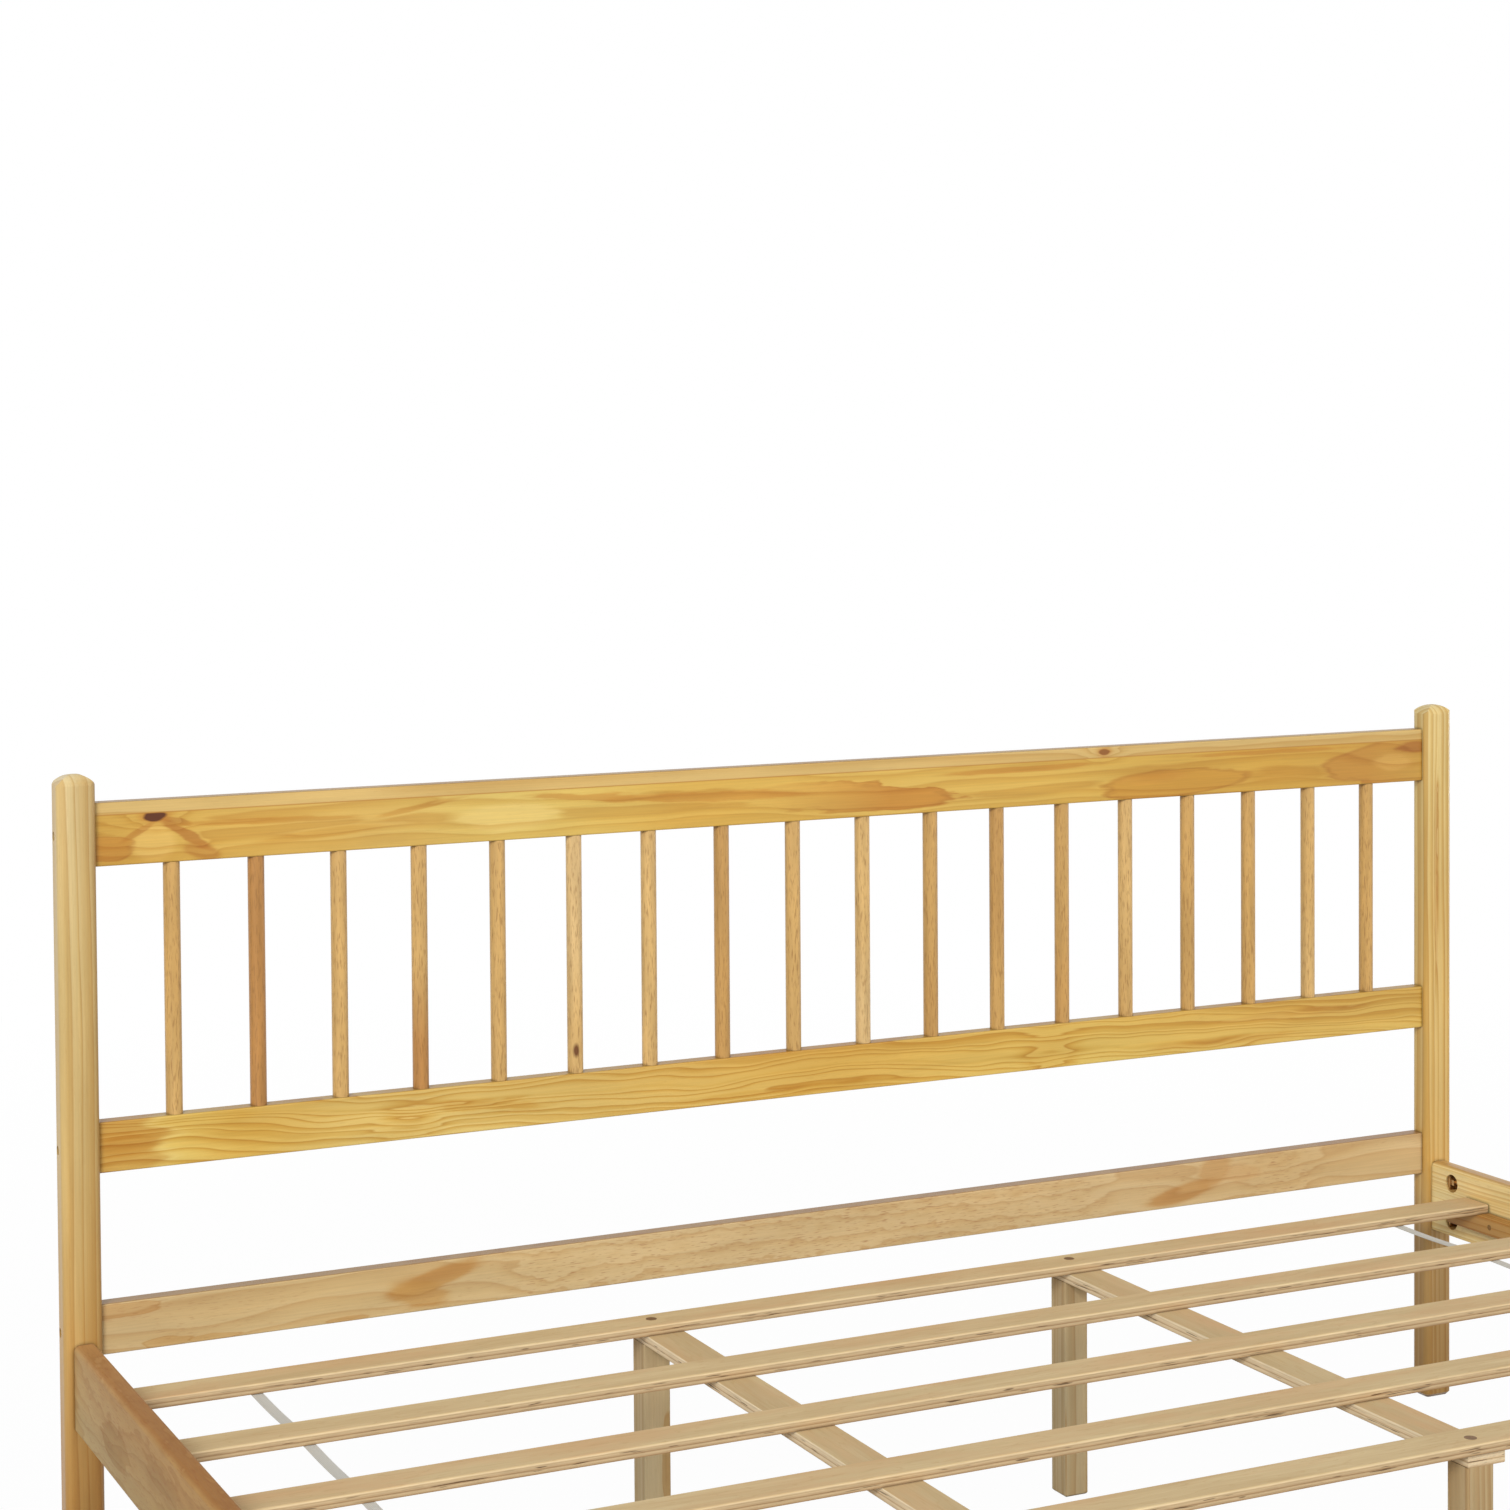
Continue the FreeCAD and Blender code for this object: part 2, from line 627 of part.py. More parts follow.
def strap_pattern():
    """One strip of webbing, its upper face at the local origin's level."""
    body = new_body("strap_pattern")
    section = new_sketch(body, "XZ")
    draw_box(section, "-(strap_width / 2)", "-strap_thick", "(strap_width / 2)", "0")
    pad(body, section, SET_LENGTH, symmetric=True)
    return body


def rail_bolt_pattern():
    """A cap screw pointing down, the underside of its head at the local origin."""
    body = new_body("rail_bolt_pattern")
    profile = new_sketch(body, "XZ")
    head, shank = "(cap_diameter / 2)", "(rail_bolt_diameter / 2)"
    draw_polygon(profile, [
        ("0", "-rail_bolt_length"), (shank, "-rail_bolt_length"), (shank, "0"), (head, "0"),
        (head, "cap_height"), ("0", "cap_height"),
    ])
    revolve(body, profile)
    socket = new_sketch(body, "XY", "cap_height")
    draw_hexagon(socket, "cap_socket")
    pocket(body, socket, "cap_socket_depth")
    return body


def barrel_nut_pattern():
    """A barrel nut with its cross bore along X."""
    body = new_body("barrel_nut_pattern")
    plan = new_sketch(body, "XY")
    draw_circle(plan, ("0", "0"), "barrel_diameter")
    pad(body, plan, "barrel_length", symmetric=True)
    bore = new_sketch(body, "YZ")
    draw_circle(bore, ("0", "0"), "(rail_bolt_diameter + screw_play)")
    pocket(body, bore)
    return body


def hanger_bolt_pattern():
    """A stud pointing down from the end that is screwed into the post."""
    body = new_body("hanger_bolt_pattern")
    profile = new_sketch(body, "XZ")
    radius, end_radius = "(hanger_diameter / 2)", "(hanger_diameter / 2 - hanger_bevel)"
    length = "(hanger_in_post + hanger_in_rail)"
    draw_polygon(profile, [
        ("0", f"-{length}"), (end_radius, f"-{length}"), (radius, f"-({length} - hanger_bevel)"),
        (radius, "-hanger_bevel"), (end_radius, "0"), ("0", "0"),
    ])
    revolve(body, profile)
    return body


def half_moon_pattern():
    """A half-moon washer, its round back towards +Y and centred on the pocket's axis."""
    body = new_body("half_moon_pattern")
    outline = new_sketch(body, "YZ")
    draw_circle(outline, ("0", "0"), "(pocket_diameter - 2 * washer_play)")
    pad(body, outline, "washer_length", symmetric=True)
    waste = new_sketch(body, "YZ")
    flat_y = "(pocket_diameter / 2 - washer_play - washer_thick)"
    draw_box(waste, "-pocket_diameter", "-pocket_diameter", flat_y, "pocket_diameter")
    pocket(body, waste)
    bore = new_sketch(body, "XZ")
    draw_circle(bore, ("0", "0"), "hanger_bore")
    pocket(body, bore)
    return body


def hanger_nut_pattern():
    """A hexagon nut hanging down from the local origin."""
    body = new_body("hanger_nut_pattern")
    plan = new_sketch(body, "XY")
    draw_hexagon(plan, "nut_flats")
    pad(body, plan, "nut_height", reverse=True)
    bore = new_sketch(body, "XY")
    draw_circle(bore, ("0", "0"), "(hanger_diameter + screw_play)")
    pocket(body, bore)
    return body


def screw_pattern(name):
    """A countersunk screw pointing down, the top of its head at the local origin."""
    body = new_body(f"{name}_pattern")
    profile = new_sketch(body, "XZ")
    head, shank, length = f"({name}_head / 2)", f"({name}_diameter / 2)", f"{name}_length"
    draw_polygon(profile, [
        ("0", f"-{length}"), (shank, f"-({length} - screw_tip)"), (shank, f"-({head} - {shank})"),
        (head, "0"), ("0", "0"),
    ])
    revolve(body, profile)
    return body


TURNS = {
    "down": FreeCAD.Rotation(),
    "to_right": FreeCAD.Rotation(Y_AXIS, -90),
    "to_left": FreeCAD.Rotation(Y_AXIS, 90),
    "to_foot": FreeCAD.Rotation(X_AXIS, -90),
    "to_head": FreeCAD.Rotation(X_AXIS, 90),
    "half_turn": FreeCAD.Rotation(Z_AXIS, 180),
}


def make_group(name, pattern, spots):
    """All copies of one pattern as one sub-part: each spot is a turn and three formulas."""
    copies = []
    for number, (turn, x, y, z) in enumerate(spots, start=1):
        copy = doc.addObject("App::Link", f"{name}_{number:02d}")
        copy.LinkedObject = pattern
        copy.Placement = FreeCAD.Placement(FreeCAD.Vector(), TURNS[turn])
        place(copy, x, y, z)
        copies.append(copy)
    group = doc.addObject("Part::Compound", name)
    group.Links = copies
    return subpart(group)


def rail_bolt_spots():
    """Where each bolt's head seats: in its counterbore, level with its rail's middle."""
    seat_x = "(clear_width / 2 + post_width - counterbore_depth)"
    return [
        ("to_right" if side == "left" else "to_left", signed(SIDES[side], seat_x),
         signed(ENDS[end], BOARD_MIDDLE_Y), level)
        for end in ENDS for side in SIDES for level in BOARD_LEVELS[end]
    ]


def barrel_nut_spots():
    nut_x = "(clear_width / 2 - barrel_inset)"
    return [
        ("to_foot", signed(SIDES[side], nut_x), signed(ENDS[end], BOARD_MIDDLE_Y), level)
        for end in ENDS for side in SIDES for level in BOARD_LEVELS[end]
    ]


def hanger_spots(distance, turns):
    """A spot on each hanger bolt's axis, at a distance from the post's face into the side rail."""
    return [
        (turns[end], signed(SIDES[side], HANGER_X), signed(ENDS[end], f"(rail_run / 2 - {distance})"),
         f"side_bottom + {level}")
        for end in ENDS for side in SIDES for level in HANGER_LEVELS
    ]


def leg_screw_spots():
    return [
        ("down", leg_x(side), leg_y(end, place_in_set), SLAT_TOP)
        for end in ENDS for side in SIDES for place_in_set in ("outer", "inner")
    ]


def ledger_screw_spots():
    """One row of screws in each ledger, their heads flush with its inner face."""
    face_x = f"({SIDE_INNER_X} - ledger_width)"
    step = f"{LEDGER_SCREW_SPAN} / (ledger_screws - 1)"
    return [
        ("to_left" if side == "left" else "to_right", signed(SIDES[side], face_x),
         f"{index} * {step} - {LEDGER_SCREW_SPAN} / 2", f"{SLAT_BOTTOM} - ledger_height / 2")
        for side in SIDES for index in range(SIZES["ledger_screws"])
    ]


def strap_spots():
    return [
        ("down", signed(SIDES[side], "strap_offset"),
         signed(ENDS[end], f"({SET_HEAD_Y} - {SET_LENGTH} / 2)"), SLAT_BOTTOM)
        for end in ENDS for side in SIDES
    ]


# ---- the bed -----------------------------------------------------------------------------------

def make_ends():
    """The two pairs of posts, the cross rails between them, and the spindles of the headboard."""
    for end in ENDS:
        for side in SIDES:
            make_post(end, side)
    top_rail = make_cross_rail("top", "head")
    cut_mortises(top_rail, None, reverse=True)
    mid_rail = make_cross_rail("mid", "head")
    cut_mortises(mid_rail, "mid_rail_height", reverse=False)
    make_cross_rail("low", "head")
    make_cross_rail("foot", "foot")
    for index in range(SIZES["spindle_count"]):
        make_spindle(index)


def make_sides():
    for side in SIDES:
        make_side_rail(side)
        make_ledger(side)


def make_slat_sets():
    """Two sets of slats, numbered from the head; the foot set mirrors the head set."""
    count = SIZES["slats_per_set"]
    for step in range(count):
        make_slat(step + 1, "head", step)
    for step in reversed(range(count)):
        make_slat(2 * count - step, "foot", step)
    for end in ENDS:
        for side in SIDES:
            make_beam(end, side)
            for place_in_set in ("outer", "inner"):
                make_leg(end, side, place_in_set)
    make_group("webbing_straps", strap_pattern(), strap_spots())


def make_fasteners():
    head_turns = {"head": "to_foot", "foot": "to_head"}
    washer_flat = "(pocket_inset - pocket_diameter / 2 + washer_play + washer_thick)"
    make_group("rail_bolts", rail_bolt_pattern(), rail_bolt_spots())
    make_group("barrel_nuts", barrel_nut_pattern(), barrel_nut_spots())
    make_group("hanger_bolts", hanger_bolt_pattern(), hanger_spots("-hanger_in_post", head_turns))
    make_group("half_moon_washers", half_moon_pattern(),
               hanger_spots("pocket_inset", {"head": "down", "foot": "half_turn"}))
    make_group("hanger_nuts", hanger_nut_pattern(), hanger_spots(washer_flat, head_turns))
    make_group("leg_screws", screw_pattern("leg_screw"), leg_screw_spots())
    make_group("ledger_screws", screw_pattern("ledger_screw"), ledger_screw_spots())


def check_document():
    """Stop if any object failed to recompute or a sub-part has no valid shape."""
    doc.recompute()
    for thing in doc.Objects:
        failed = {"Invalid", "Error"} & set(thing.State)
        if failed:
            raise RuntimeError(f"{thing.Label} did not recompute: {sorted(failed)}")
    for thing in subparts:
        if thing.Shape.isNull() or not thing.Shape.isValid():
            raise RuntimeError(f"{thing.Label} has no valid shape")


def write_parts():
    os.makedirs("parts", exist_ok=True)
    for thing in subparts:
        thing.Shape.exportStep(f"parts/{thing.Label}.step")


write_sheet()
make_ends()
make_sides()
make_slat_sets()
make_fasteners()
check_document()
write_parts()
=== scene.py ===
"""Looks of the spindle bed: lacquered pine, hardwood spindles, plywood slats, webbing and small hardware."""

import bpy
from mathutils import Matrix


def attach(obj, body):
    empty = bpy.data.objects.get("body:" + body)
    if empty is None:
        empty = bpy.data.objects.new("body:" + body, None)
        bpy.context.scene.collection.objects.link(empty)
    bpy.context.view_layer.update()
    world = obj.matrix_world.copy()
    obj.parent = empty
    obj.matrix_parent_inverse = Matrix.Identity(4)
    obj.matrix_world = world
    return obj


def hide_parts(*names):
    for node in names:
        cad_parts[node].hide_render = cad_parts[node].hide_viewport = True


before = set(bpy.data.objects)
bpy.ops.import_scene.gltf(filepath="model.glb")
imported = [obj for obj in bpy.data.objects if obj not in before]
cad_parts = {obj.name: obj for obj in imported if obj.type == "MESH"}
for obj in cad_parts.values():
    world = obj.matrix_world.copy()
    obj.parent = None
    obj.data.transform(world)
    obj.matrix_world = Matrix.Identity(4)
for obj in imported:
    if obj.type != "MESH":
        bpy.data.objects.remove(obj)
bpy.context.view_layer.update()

import logging
import math
from dataclasses import dataclass
from enum import Enum
from typing import Any, Mapping, Sequence, Union

import bmesh
import bpy
from mathutils import Matrix, Vector

LOG = logging.getLogger("spindle_bed")
MM = 0.001
PER_METRE = 1000.0
# How far from another piece the painted shade at joints reaches.
JOINT_SHADE_REACH = 5.0 * MM
GLOSS = {"Specular IOR Level": 0.25}
COAT_ROUGHNESS = 0.22
WHITE = "FFFFFF"

Tree = bpy.types.NodeTree
Node = bpy.types.Node
Link = Union[Node, bpy.types.NodeSocket]
Feed = Union[Link, float, str, Sequence[float]]
Colour = tuple[float, float, float, float]
Pair = tuple[float, float]
Triple = tuple[float, float, float]


def linear(code: str) -> Colour:
    """Turn an sRGB hex colour into linear light.

    Args:
        code: Six hex digits, as in "D9B164".

    Returns:
        Red, green, blue and an alpha of 1.
    """
    parts = [int(code[i:i + 2], 16) / 255 for i in (0, 2, 4)]
    red, green, blue = (c / 12.92 if c <= 0.04045 else ((c + 0.055) / 1.055) ** 2.4 for c in parts)
    return red, green, blue, 1.0


class Run(Enum):
    """Which way a piece's grain runs, as the order of its (along, across, depth) axes."""

    PLAIN = ("X", "Y", "Z")
    WIDTHWISE = ("X", "Z", "Y")
    LENGTHWISE = ("Y", "Z", "X")
    UPRIGHT = ("Z", "X", "Y")


def add_node(
    tree: Tree,
    kind: str,
    feeds: Union[Mapping[str, Feed], Sequence[Feed]] = (),
    stops: Sequence[tuple[float, str]] = (),
    **settings: Any,
) -> Node:
    """Add a shader node with its settings, its links and its ramp's colours.

    Args:
        tree: The material's node tree.
        kind: The node's type, without its "ShaderNode" prefix, and after a point its operation.
        feeds: What goes into the sockets in use, by name or in their order: a node (its first output in
            use), an output, a number, a vector or a hex colour.
        stops: Places and hex colours along a colour ramp.
        settings: Properties of the node.

    Returns:
        The node.
    """
    family, _, operation = kind.partition(".")
    node = tree.nodes.new("ShaderNode" + family)
    if operation:
        node.operation = operation
    for name, value in settings.items():
        setattr(node, name, value)
    if stops:
        ramp = node.color_ramp
        while len(ramp.elements) < len(stops):
            ramp.elements.new(0.5)
        for element, (place, code) in zip(ramp.elements, stops):
            element.position = place
            element.color = linear(code)
    for key, feed in feeds.items() if isinstance(feeds, Mapping) else enumerate(feeds):
        in_use = [s for s in node.inputs if s.enabled]
        socket = in_use[key] if isinstance(key, int) else next(s for s in in_use if s.name == key)
        if isinstance(feed, Node):
            feed = next(s for s in feed.outputs if s.enabled)
        if isinstance(feed, bpy.types.NodeSocket):
            tree.links.new(feed, socket)
        else:
            socket.default_value = linear(feed) if isinstance(feed, str) else feed
    return node


def mottle(tree: Tree, place: Link, sizes: Triple, detail: float, roughness: float = 0.5) -> Node:
    """Spread a soft noise over a surface, with features of real sizes.

    Args:
        tree: The material's node tree.
        place: The point in millimetres.
        sizes: How long the features are along each axis, in millimetres.
        detail: How many finer layers the noise has.
        roughness: How strong the finer layers are.

    Returns:
        The noise, from 0 to 1.
    """
    steps = add_node(tree, "VectorMath.MULTIPLY", [place, [1.0 / size for size in sizes]])
    return add_node(tree, "TexNoise", {
        "Vector": steps, "Scale": 1.0, "Detail": detail, "Roughness": roughness,
    })


def distance(tree: Tree, value: Link, level: float) -> Node:
    """Give how far a value lies from a level, above or below."""
    off = add_node(tree, "Math.SUBTRACT", [value, level])
    return add_node(tree, "Math.ABSOLUTE", [off])


def shaded(tree: Tree, colour: Link, cue: Link, levels: Pair, values: Pair) -> Node:
    """Darken and lighten a colour as a cue rises from one level to another.

    Args:
        tree: The material's node tree.
        colour: The colour.
        cue: What the lightness follows.
        levels: The cue's low and high levels.
        values: The lightness at each, where 1 leaves the colour as it is.

    Returns:
        The shaded colour.
    """
    value = add_node(tree, "MapRange", {
        "Value": cue, "From Min": levels[0], "From Max": levels[1], "To Min": values[0], "To Max": values[1],
    })
    return add_node(tree, "HueSaturation", {"Color": colour, "Value": value})


def stained(
    tree: Tree, colour: Feed, cue: Link, levels: Pair, tint: Feed, most: Feed = 1.0, smooth: bool = False
) -> Node:
    """Let a tint into a colour as a cue goes from one level to another.

    Args:
        tree: The material's node tree.
        colour: The colour.
        cue: What the tint follows.
        levels: The cue's level where the tint begins, and the one where it is fullest.
        tint: The other colour.
        most: The tint's share where it is fullest.
        smooth: Whether the tint comes in and out without a crease.

    Returns:
        The mixed colour.
    """
    share = add_node(tree, "MapRange", {
        "Value": cue, "From Min": levels[0], "From Max": levels[1], "To Max": most,
    }, interpolation_type="SMOOTHSTEP" if smooth else "LINEAR")
    return add_node(tree, "Mix", {"Factor": share, "A": colour, "B": tint}, data_type="RGBA")


def plainly_seen(tree: Tree) -> Node:
    """Tell the rays of the camera, and those seen in metal or glass, from the light's."""
    rays = add_node(tree, "LightPath").outputs
    seen = add_node(tree, "Math.MAXIMUM", [rays["Is Camera Ray"], rays["Is Glossy Ray"]])
    return add_node(tree, "Math.MAXIMUM", [seen, rays["Is Transmission Ray"]])


class Finish:
    """What every finish shares: a named material that ends in the finish's own surface."""

    name: str

    def material(self) -> bpy.types.Material:
        """Make the finish's material."""
        made = bpy.data.materials.new(self.name)
        made.use_nodes = True
        made.node_tree.nodes.clear()
        add_node(made.node_tree, "OutputMaterial", {"Surface": self.surface(made.node_tree)})
        return made

    def surface(self, tree: Tree) -> Node:
        """Build the finish's surface shader."""
        raise NotImplementedError

    def place(self, tree: Tree, run: Run = Run.PLAIN, centre: Triple = (0.0, 0.0, 0.0)) -> Node:
        """Give the point in millimetres from a centre, its parts in the order along, across and deep.

        Args:
            tree: The material's node tree.
            run: Which way the grain runs.
            centre: The centre in the bed's frame.

        Returns:
            The point.
        """
        point = add_node(tree, "TexCoord").outputs["Object"]
        parts = add_node(tree, "SeparateXYZ", [point]).outputs
        turned = add_node(tree, "CombineXYZ", [parts[axis] for axis in run.value])
        middle = tuple(-centre["XYZ".index(axis)] for axis in run.value)
        return add_node(tree, "VectorMath.MULTIPLY_ADD", [turned, (PER_METRE,) * 3, middle])

    def joint_line_and_shade(self, tree: Tree, colour: Link) -> Node:
        """Darken the wood where another piece lies close: painted shade in joints and under things, and the thin
        dark line of each joint.
        """
        near = add_node(tree, "AmbientOcclusion", {"Distance": JOINT_SHADE_REACH}, samples=8)
        return shaded(tree, colour, near.outputs["AO"], (0.45, 0.9), (0.5, 1.0))


# ---- timber ----

# How long and wide each pattern in the pine is. The fibres and flecks are coarser than real ones.
OUTLINE_MM = (50.0, 9.0, 1000.0 / 13.0)
BORDER_MM = (90.0, 14.0, 14.0)
RIPPLE_MM = (34.0, 13.0, 13.0)
TONE_MM = (230.0, 30.0, 30.0)
FIBRE_MM = (110.0, 2.0, 2.0)
FLECK_AREA_MM = (200.0, 30.0, 30.0)
FLECK_MM = (14.0, 1.4, 1.4)
WANDER_WIDTH_MM = 70.0
BORDER_SHIFT_MM = 60.0
SPAN_END_MM = 60.0
# How far one step of a board's seed moves its patterns, and where in the log a glued-on strip lies.
SEED_STEP_MM = (913.0, 0.0, 7.0)
OUTLINE_STEP_MM = 50.0
STRIP_STEP_MM = (640.0, 11.0, 26.0)
# The mound's heights between which a patch comes in, how wide and strong the line round it is, how
# narrow a taper gets, where a fade is over, and how far and high a knot lifts the layers round it.
CRISP_EDGE = (0.3, 0.4)
SOFT_EDGE = (0.2, 0.6)
LINE_WIDTH = 0.08
LINE_SHARE = 0.5
LEAST_PINCH = 0.35
FADE_END = 0.3
KNOT_REACH = (3.0, 2.6)
KNOT_LIFT = 1.6


@dataclass(frozen=True)
class Figure:
    """A patch where a growth layer lies close to the face, in millimetres on the board's face.

    A taper above 0 points its far end, below 0 its near end. A crisp one ends in a thin darker line, and
    one that fades melts into the board at its near end, or below 0 at its far end.
    """

    along: float
    across: float
    half_length: float
    half_height: float
    tint: str
    strength: float = 0.6
    slant: float = 0.0
    taper: float = 0.0
    lift: float = 0.4
    ragged: float = 0.5
    crisp: bool = False
    fade: float = 0.0

    def mound(self, tree: Tree, along: Link, across: Link, seed: float) -> Node:
        """Give a soft mound, 1 in the patch's middle and 0 outside, with an uneven outline.

        Args:
            tree: The material's node tree.
            along: The point's place along the board, in millimetres.
            across: Its place across the board.
            seed: What sets this board's outlines apart from another's.

        Returns:
            The mound's height.
        """
        where = add_node(tree, "CombineXYZ", [along, across, self.along + seed * OUTLINE_STEP_MM])
        noise = mottle(tree, where, OUTLINE_MM, 2.0)
        uneven = add_node(tree, "MapRange", {"Value": noise, "To Min": -self.ragged, "To Max": self.ragged})
        u = add_node(tree, "Math.SUBTRACT", [along, self.along])
        u = add_node(tree, "Math.DIVIDE", [u, self.half_length])
        u = add_node(tree, "Math.ADD", [u, uneven])
        level = add_node(tree, "Math.MULTIPLY_ADD", [u, self.slant, self.across])
        v = add_node(tree, "Math.SUBTRACT", [across, level])
        v = add_node(tree, "Math.DIVIDE", [v, self.half_height])
        pinch = add_node(tree, "Math.MULTIPLY_ADD", [u, self.taper, 1.0])
        pinch = add_node(tree, "Math.MAXIMUM", [pinch, LEAST_PINCH])
        v = add_node(tree, "Math.MULTIPLY_ADD", [v, pinch, uneven])
        flat = add_node(tree, "CombineXYZ", [u, v])
        square = add_node(tree, "VectorMath.DOT_PRODUCT", [flat, flat])
        falling = add_node(tree, "Math.MULTIPLY", [square, -1.0])
        return add_node(tree, "Math.EXPONENT", [falling])


@dataclass(frozen=True)
class Knot:
    """A knot with a dark core, in millimetres on the board's face."""

    along: float
    across: float
    half_length: float
    half_height: float
    core: str = "5E3216"
    halo: str = "B9782F"

    def mound(self, tree: Tree, along: Link, across: Link, seed: float, wide: Pair = (1.0, 1.0)) -> Node:
        """Give the knot as a patch's mound, made wider along and across the board."""
        length, height = self.half_length * wide[0], self.half_height * wide[1]
        return Figure(self.along, self.across, length, height, self.core).mound(tree, along, across, seed)


@dataclass(frozen=True)
class Wood:
    """How one kind of pine looks: what latewood does to its ground colour, and its fine marks."""

    late: str
    line: str
    fleck: str
    rim: str


YELLOW = Wood(late="EAD7AC", line="DABB86", fleck="A8742F", rim="A5702C")
GREY_TAN = Wood(late="ECDCC4", line="DDC3A0", fleck="94592F", rim="A87A48")


@dataclass(frozen=True)
class Board(Finish):
    """Pine planed from a log and brushed with clear lacquer: its growth rings show as soft lines.

    The rings are cylinders round a pith line outside the board, and a slow noise bends them. The
    lacquer gives the eye a satin sheen over warm wood. Places are in millimetres from the centre. A
    board glued up from two has its glue line on it, and for any other board the line lies far above.
    """

    name: str
    run: Run
    centre: Triple
    half_length: float
    ground: tuple[tuple[float, str], ...]
    wood: Wood = YELLOW
    pith: Pair = (-60.0, 45.0)
    tilt: float = 0.02
    layer_mm: float = 9.0
    wander_mm: float = 9.0
    wander_length_mm: float = 420.0
    contrast: float = 0.7
    flecks: float = 0.3
    fleck_spans: tuple[Pair, ...] = ()
    ripple: float = 0.0
    figures: tuple[Figure, ...] = ()
    knots: tuple[Knot, ...] = ()
    glue_line: float = 1000.0
    strip: str = "D3A65C"
    # Painted shade, multiplied into the wood: a tint from the low side of the board to the high side, and one on
    # its upward faces.
    low_side_shade: str = WHITE
    high_side_shade: str = WHITE
    top_shade: str = WHITE
    half_height: float = 30.0
    seed: float = 0.0
    roughness: float = 0.4
    lacquer: float = 0.15

    def surface(self, tree: Tree) -> Node:
        """Build the wood from its ground colours, growth layers, fibres and knots, under the lacquer."""
        place = self.place(tree, self.run, self.centre)
        along, across = add_node(tree, "SeparateXYZ", [place]).outputs[:2]
        upper = add_node(tree, "Math.GREATER_THAN", [across, self.glue_line])
        lower = add_node(tree, "Math.SUBTRACT", [1.0, upper])
        steps = [self.seed * step for step in SEED_STEP_MM]
        moved = add_node(tree, "VectorMath.ADD", [place, steps])
        # The glued-on strip is another piece of the log.
        moved = add_node(tree, "VectorMath.MULTIPLY_ADD", [STRIP_STEP_MM, upper, moved])
        colour, bends = self._patches(tree, along, across, lower, self._ground(tree, place, along))
        colour = add_node(tree, "Mix", {"Factor": upper, "A": colour, "B": self.strip}, data_type="RGBA")
        span = self._span(tree, along)
        colour = self._layers(tree, self._rings(tree, moved, bends, span), colour)
        colour = self._tones_and_shade(tree, moved, across, colour)
        fibres, colour = self._fibres(tree, moved, span, colour)
        colour = self._knots(tree, along, across, (lower, upper), colour)
        glued = stained(tree, colour, distance(tree, across, self.glue_line), (1.2, 0.2), "B07A34", 0.75)
        roughness = add_node(tree, "MapRange", {
            "Value": fibres, "To Min": self.roughness - 0.06, "To Max": self.roughness + 0.06,
        })
        bump = add_node(tree, "Bump", {"Height": fibres, "Strength": 0.12, "Distance": 0.3 * MM})
        return add_node(tree, "BsdfPrincipled", {
            "Base Color": self.joint_line_and_shade(tree, glued), "Roughness": roughness, "Normal": bump,
            "Coat Weight": self.lacquer, "Coat Roughness": COAT_ROUGHNESS, **GLOSS,
        })

    def _ground(self, tree: Tree, place: Link, along: Link) -> Node:
        """Lay the ground colours along the board, with a ragged border from each to the next.

        Args:
            tree: The material's node tree.
            place: The point in millimetres from the board's centre.
            along: Its place along the board.

        Returns:
            The colour.
        """
        noise = mottle(tree, place, BORDER_MM, 1.0)
        shift = add_node(tree, "MapRange", {
            "Value": noise, "To Min": -BORDER_SHIFT_MM, "To Max": BORDER_SHIFT_MM,
        })
        ragged = add_node(tree, "Math.ADD", [along, shift])
        level = add_node(tree, "MapRange", {
            "Value": ragged, "From Min": -self.half_length, "From Max": self.half_length,
        })
        stops = [((at + self.half_length) / (2 * self.half_length), code) for at, code in self.ground]
        return add_node(tree, "ValToRGB", {"Fac": level}, stops=stops)

    def _patches(self, tree: Tree, along: Link, across: Link, lower: Link, colour: Link) -> tuple[Node, Feed]:
        """Lay the patches of figure over the ground, and let them and the knots lift the growth layers.

        Args:
            tree: The material's node tree.
            along: The point's place along the board, in millimetres.
            across: Its place across the board.
            lower: 1 below the glue line and 0 above it.
            colour: The ground's colour.

        Returns:
            The colour, and by how many layers the patches and knots lift the growth layers.
        """
        bends: Feed = 0.0
        for patch in self.figures:
            shape = patch.mound(tree, along, across, self.seed)
            shape = add_node(tree, "Math.MULTIPLY", [shape, lower])
            strength: Feed = patch.strength
            if patch.fade:
                reach = patch.fade * patch.half_length
                strength = add_node(tree, "MapRange", {
                    "Value": along, "To Max": patch.strength,
                    "From Min": patch.along - reach, "From Max": patch.along + FADE_END * reach,
                })
            levels = CRISP_EDGE if patch.crisp else SOFT_EDGE
            colour = stained(tree, colour, shape, levels, patch.tint, strength, smooth=True)
            if patch.crisp:
                half = add_node(tree, "Math.MULTIPLY", [strength, LINE_SHARE])
                off = distance(tree, shape, levels[1])
                colour = stained(tree, colour, off, (LINE_WIDTH, 0.0), self.wood.rim, half)
            bends = add_node(tree, "Math.MULTIPLY_ADD", [shape, patch.lift, bends])
        for knot in self.knots:
            rise = knot.mound(tree, along, across, self.seed, KNOT_REACH)
            if knot.across < self.glue_line:
                rise = add_node(tree, "Math.MULTIPLY", [rise, lower])
            bends = add_node(tree, "Math.MULTIPLY_ADD", [rise, KNOT_LIFT, bends])
        return colour, bends

    def _span(self, tree: Tree, along: Link) -> Feed:
        """Give 1 where the layers lie flat in the face, with ripples and flecks, and 0 elsewhere."""
        found: Feed = 0.0
        for first, last in self.fleck_spans:
            off = distance(tree, along, (first + last) / 2)
            half = (last - first) / 2
            inside = add_node(tree, "MapRange", {
                "Value": off, "From Min": half, "From Max": half - SPAN_END_MM,
            })
            found = add_node(tree, "Math.MAXIMUM", [found, inside])
        return found

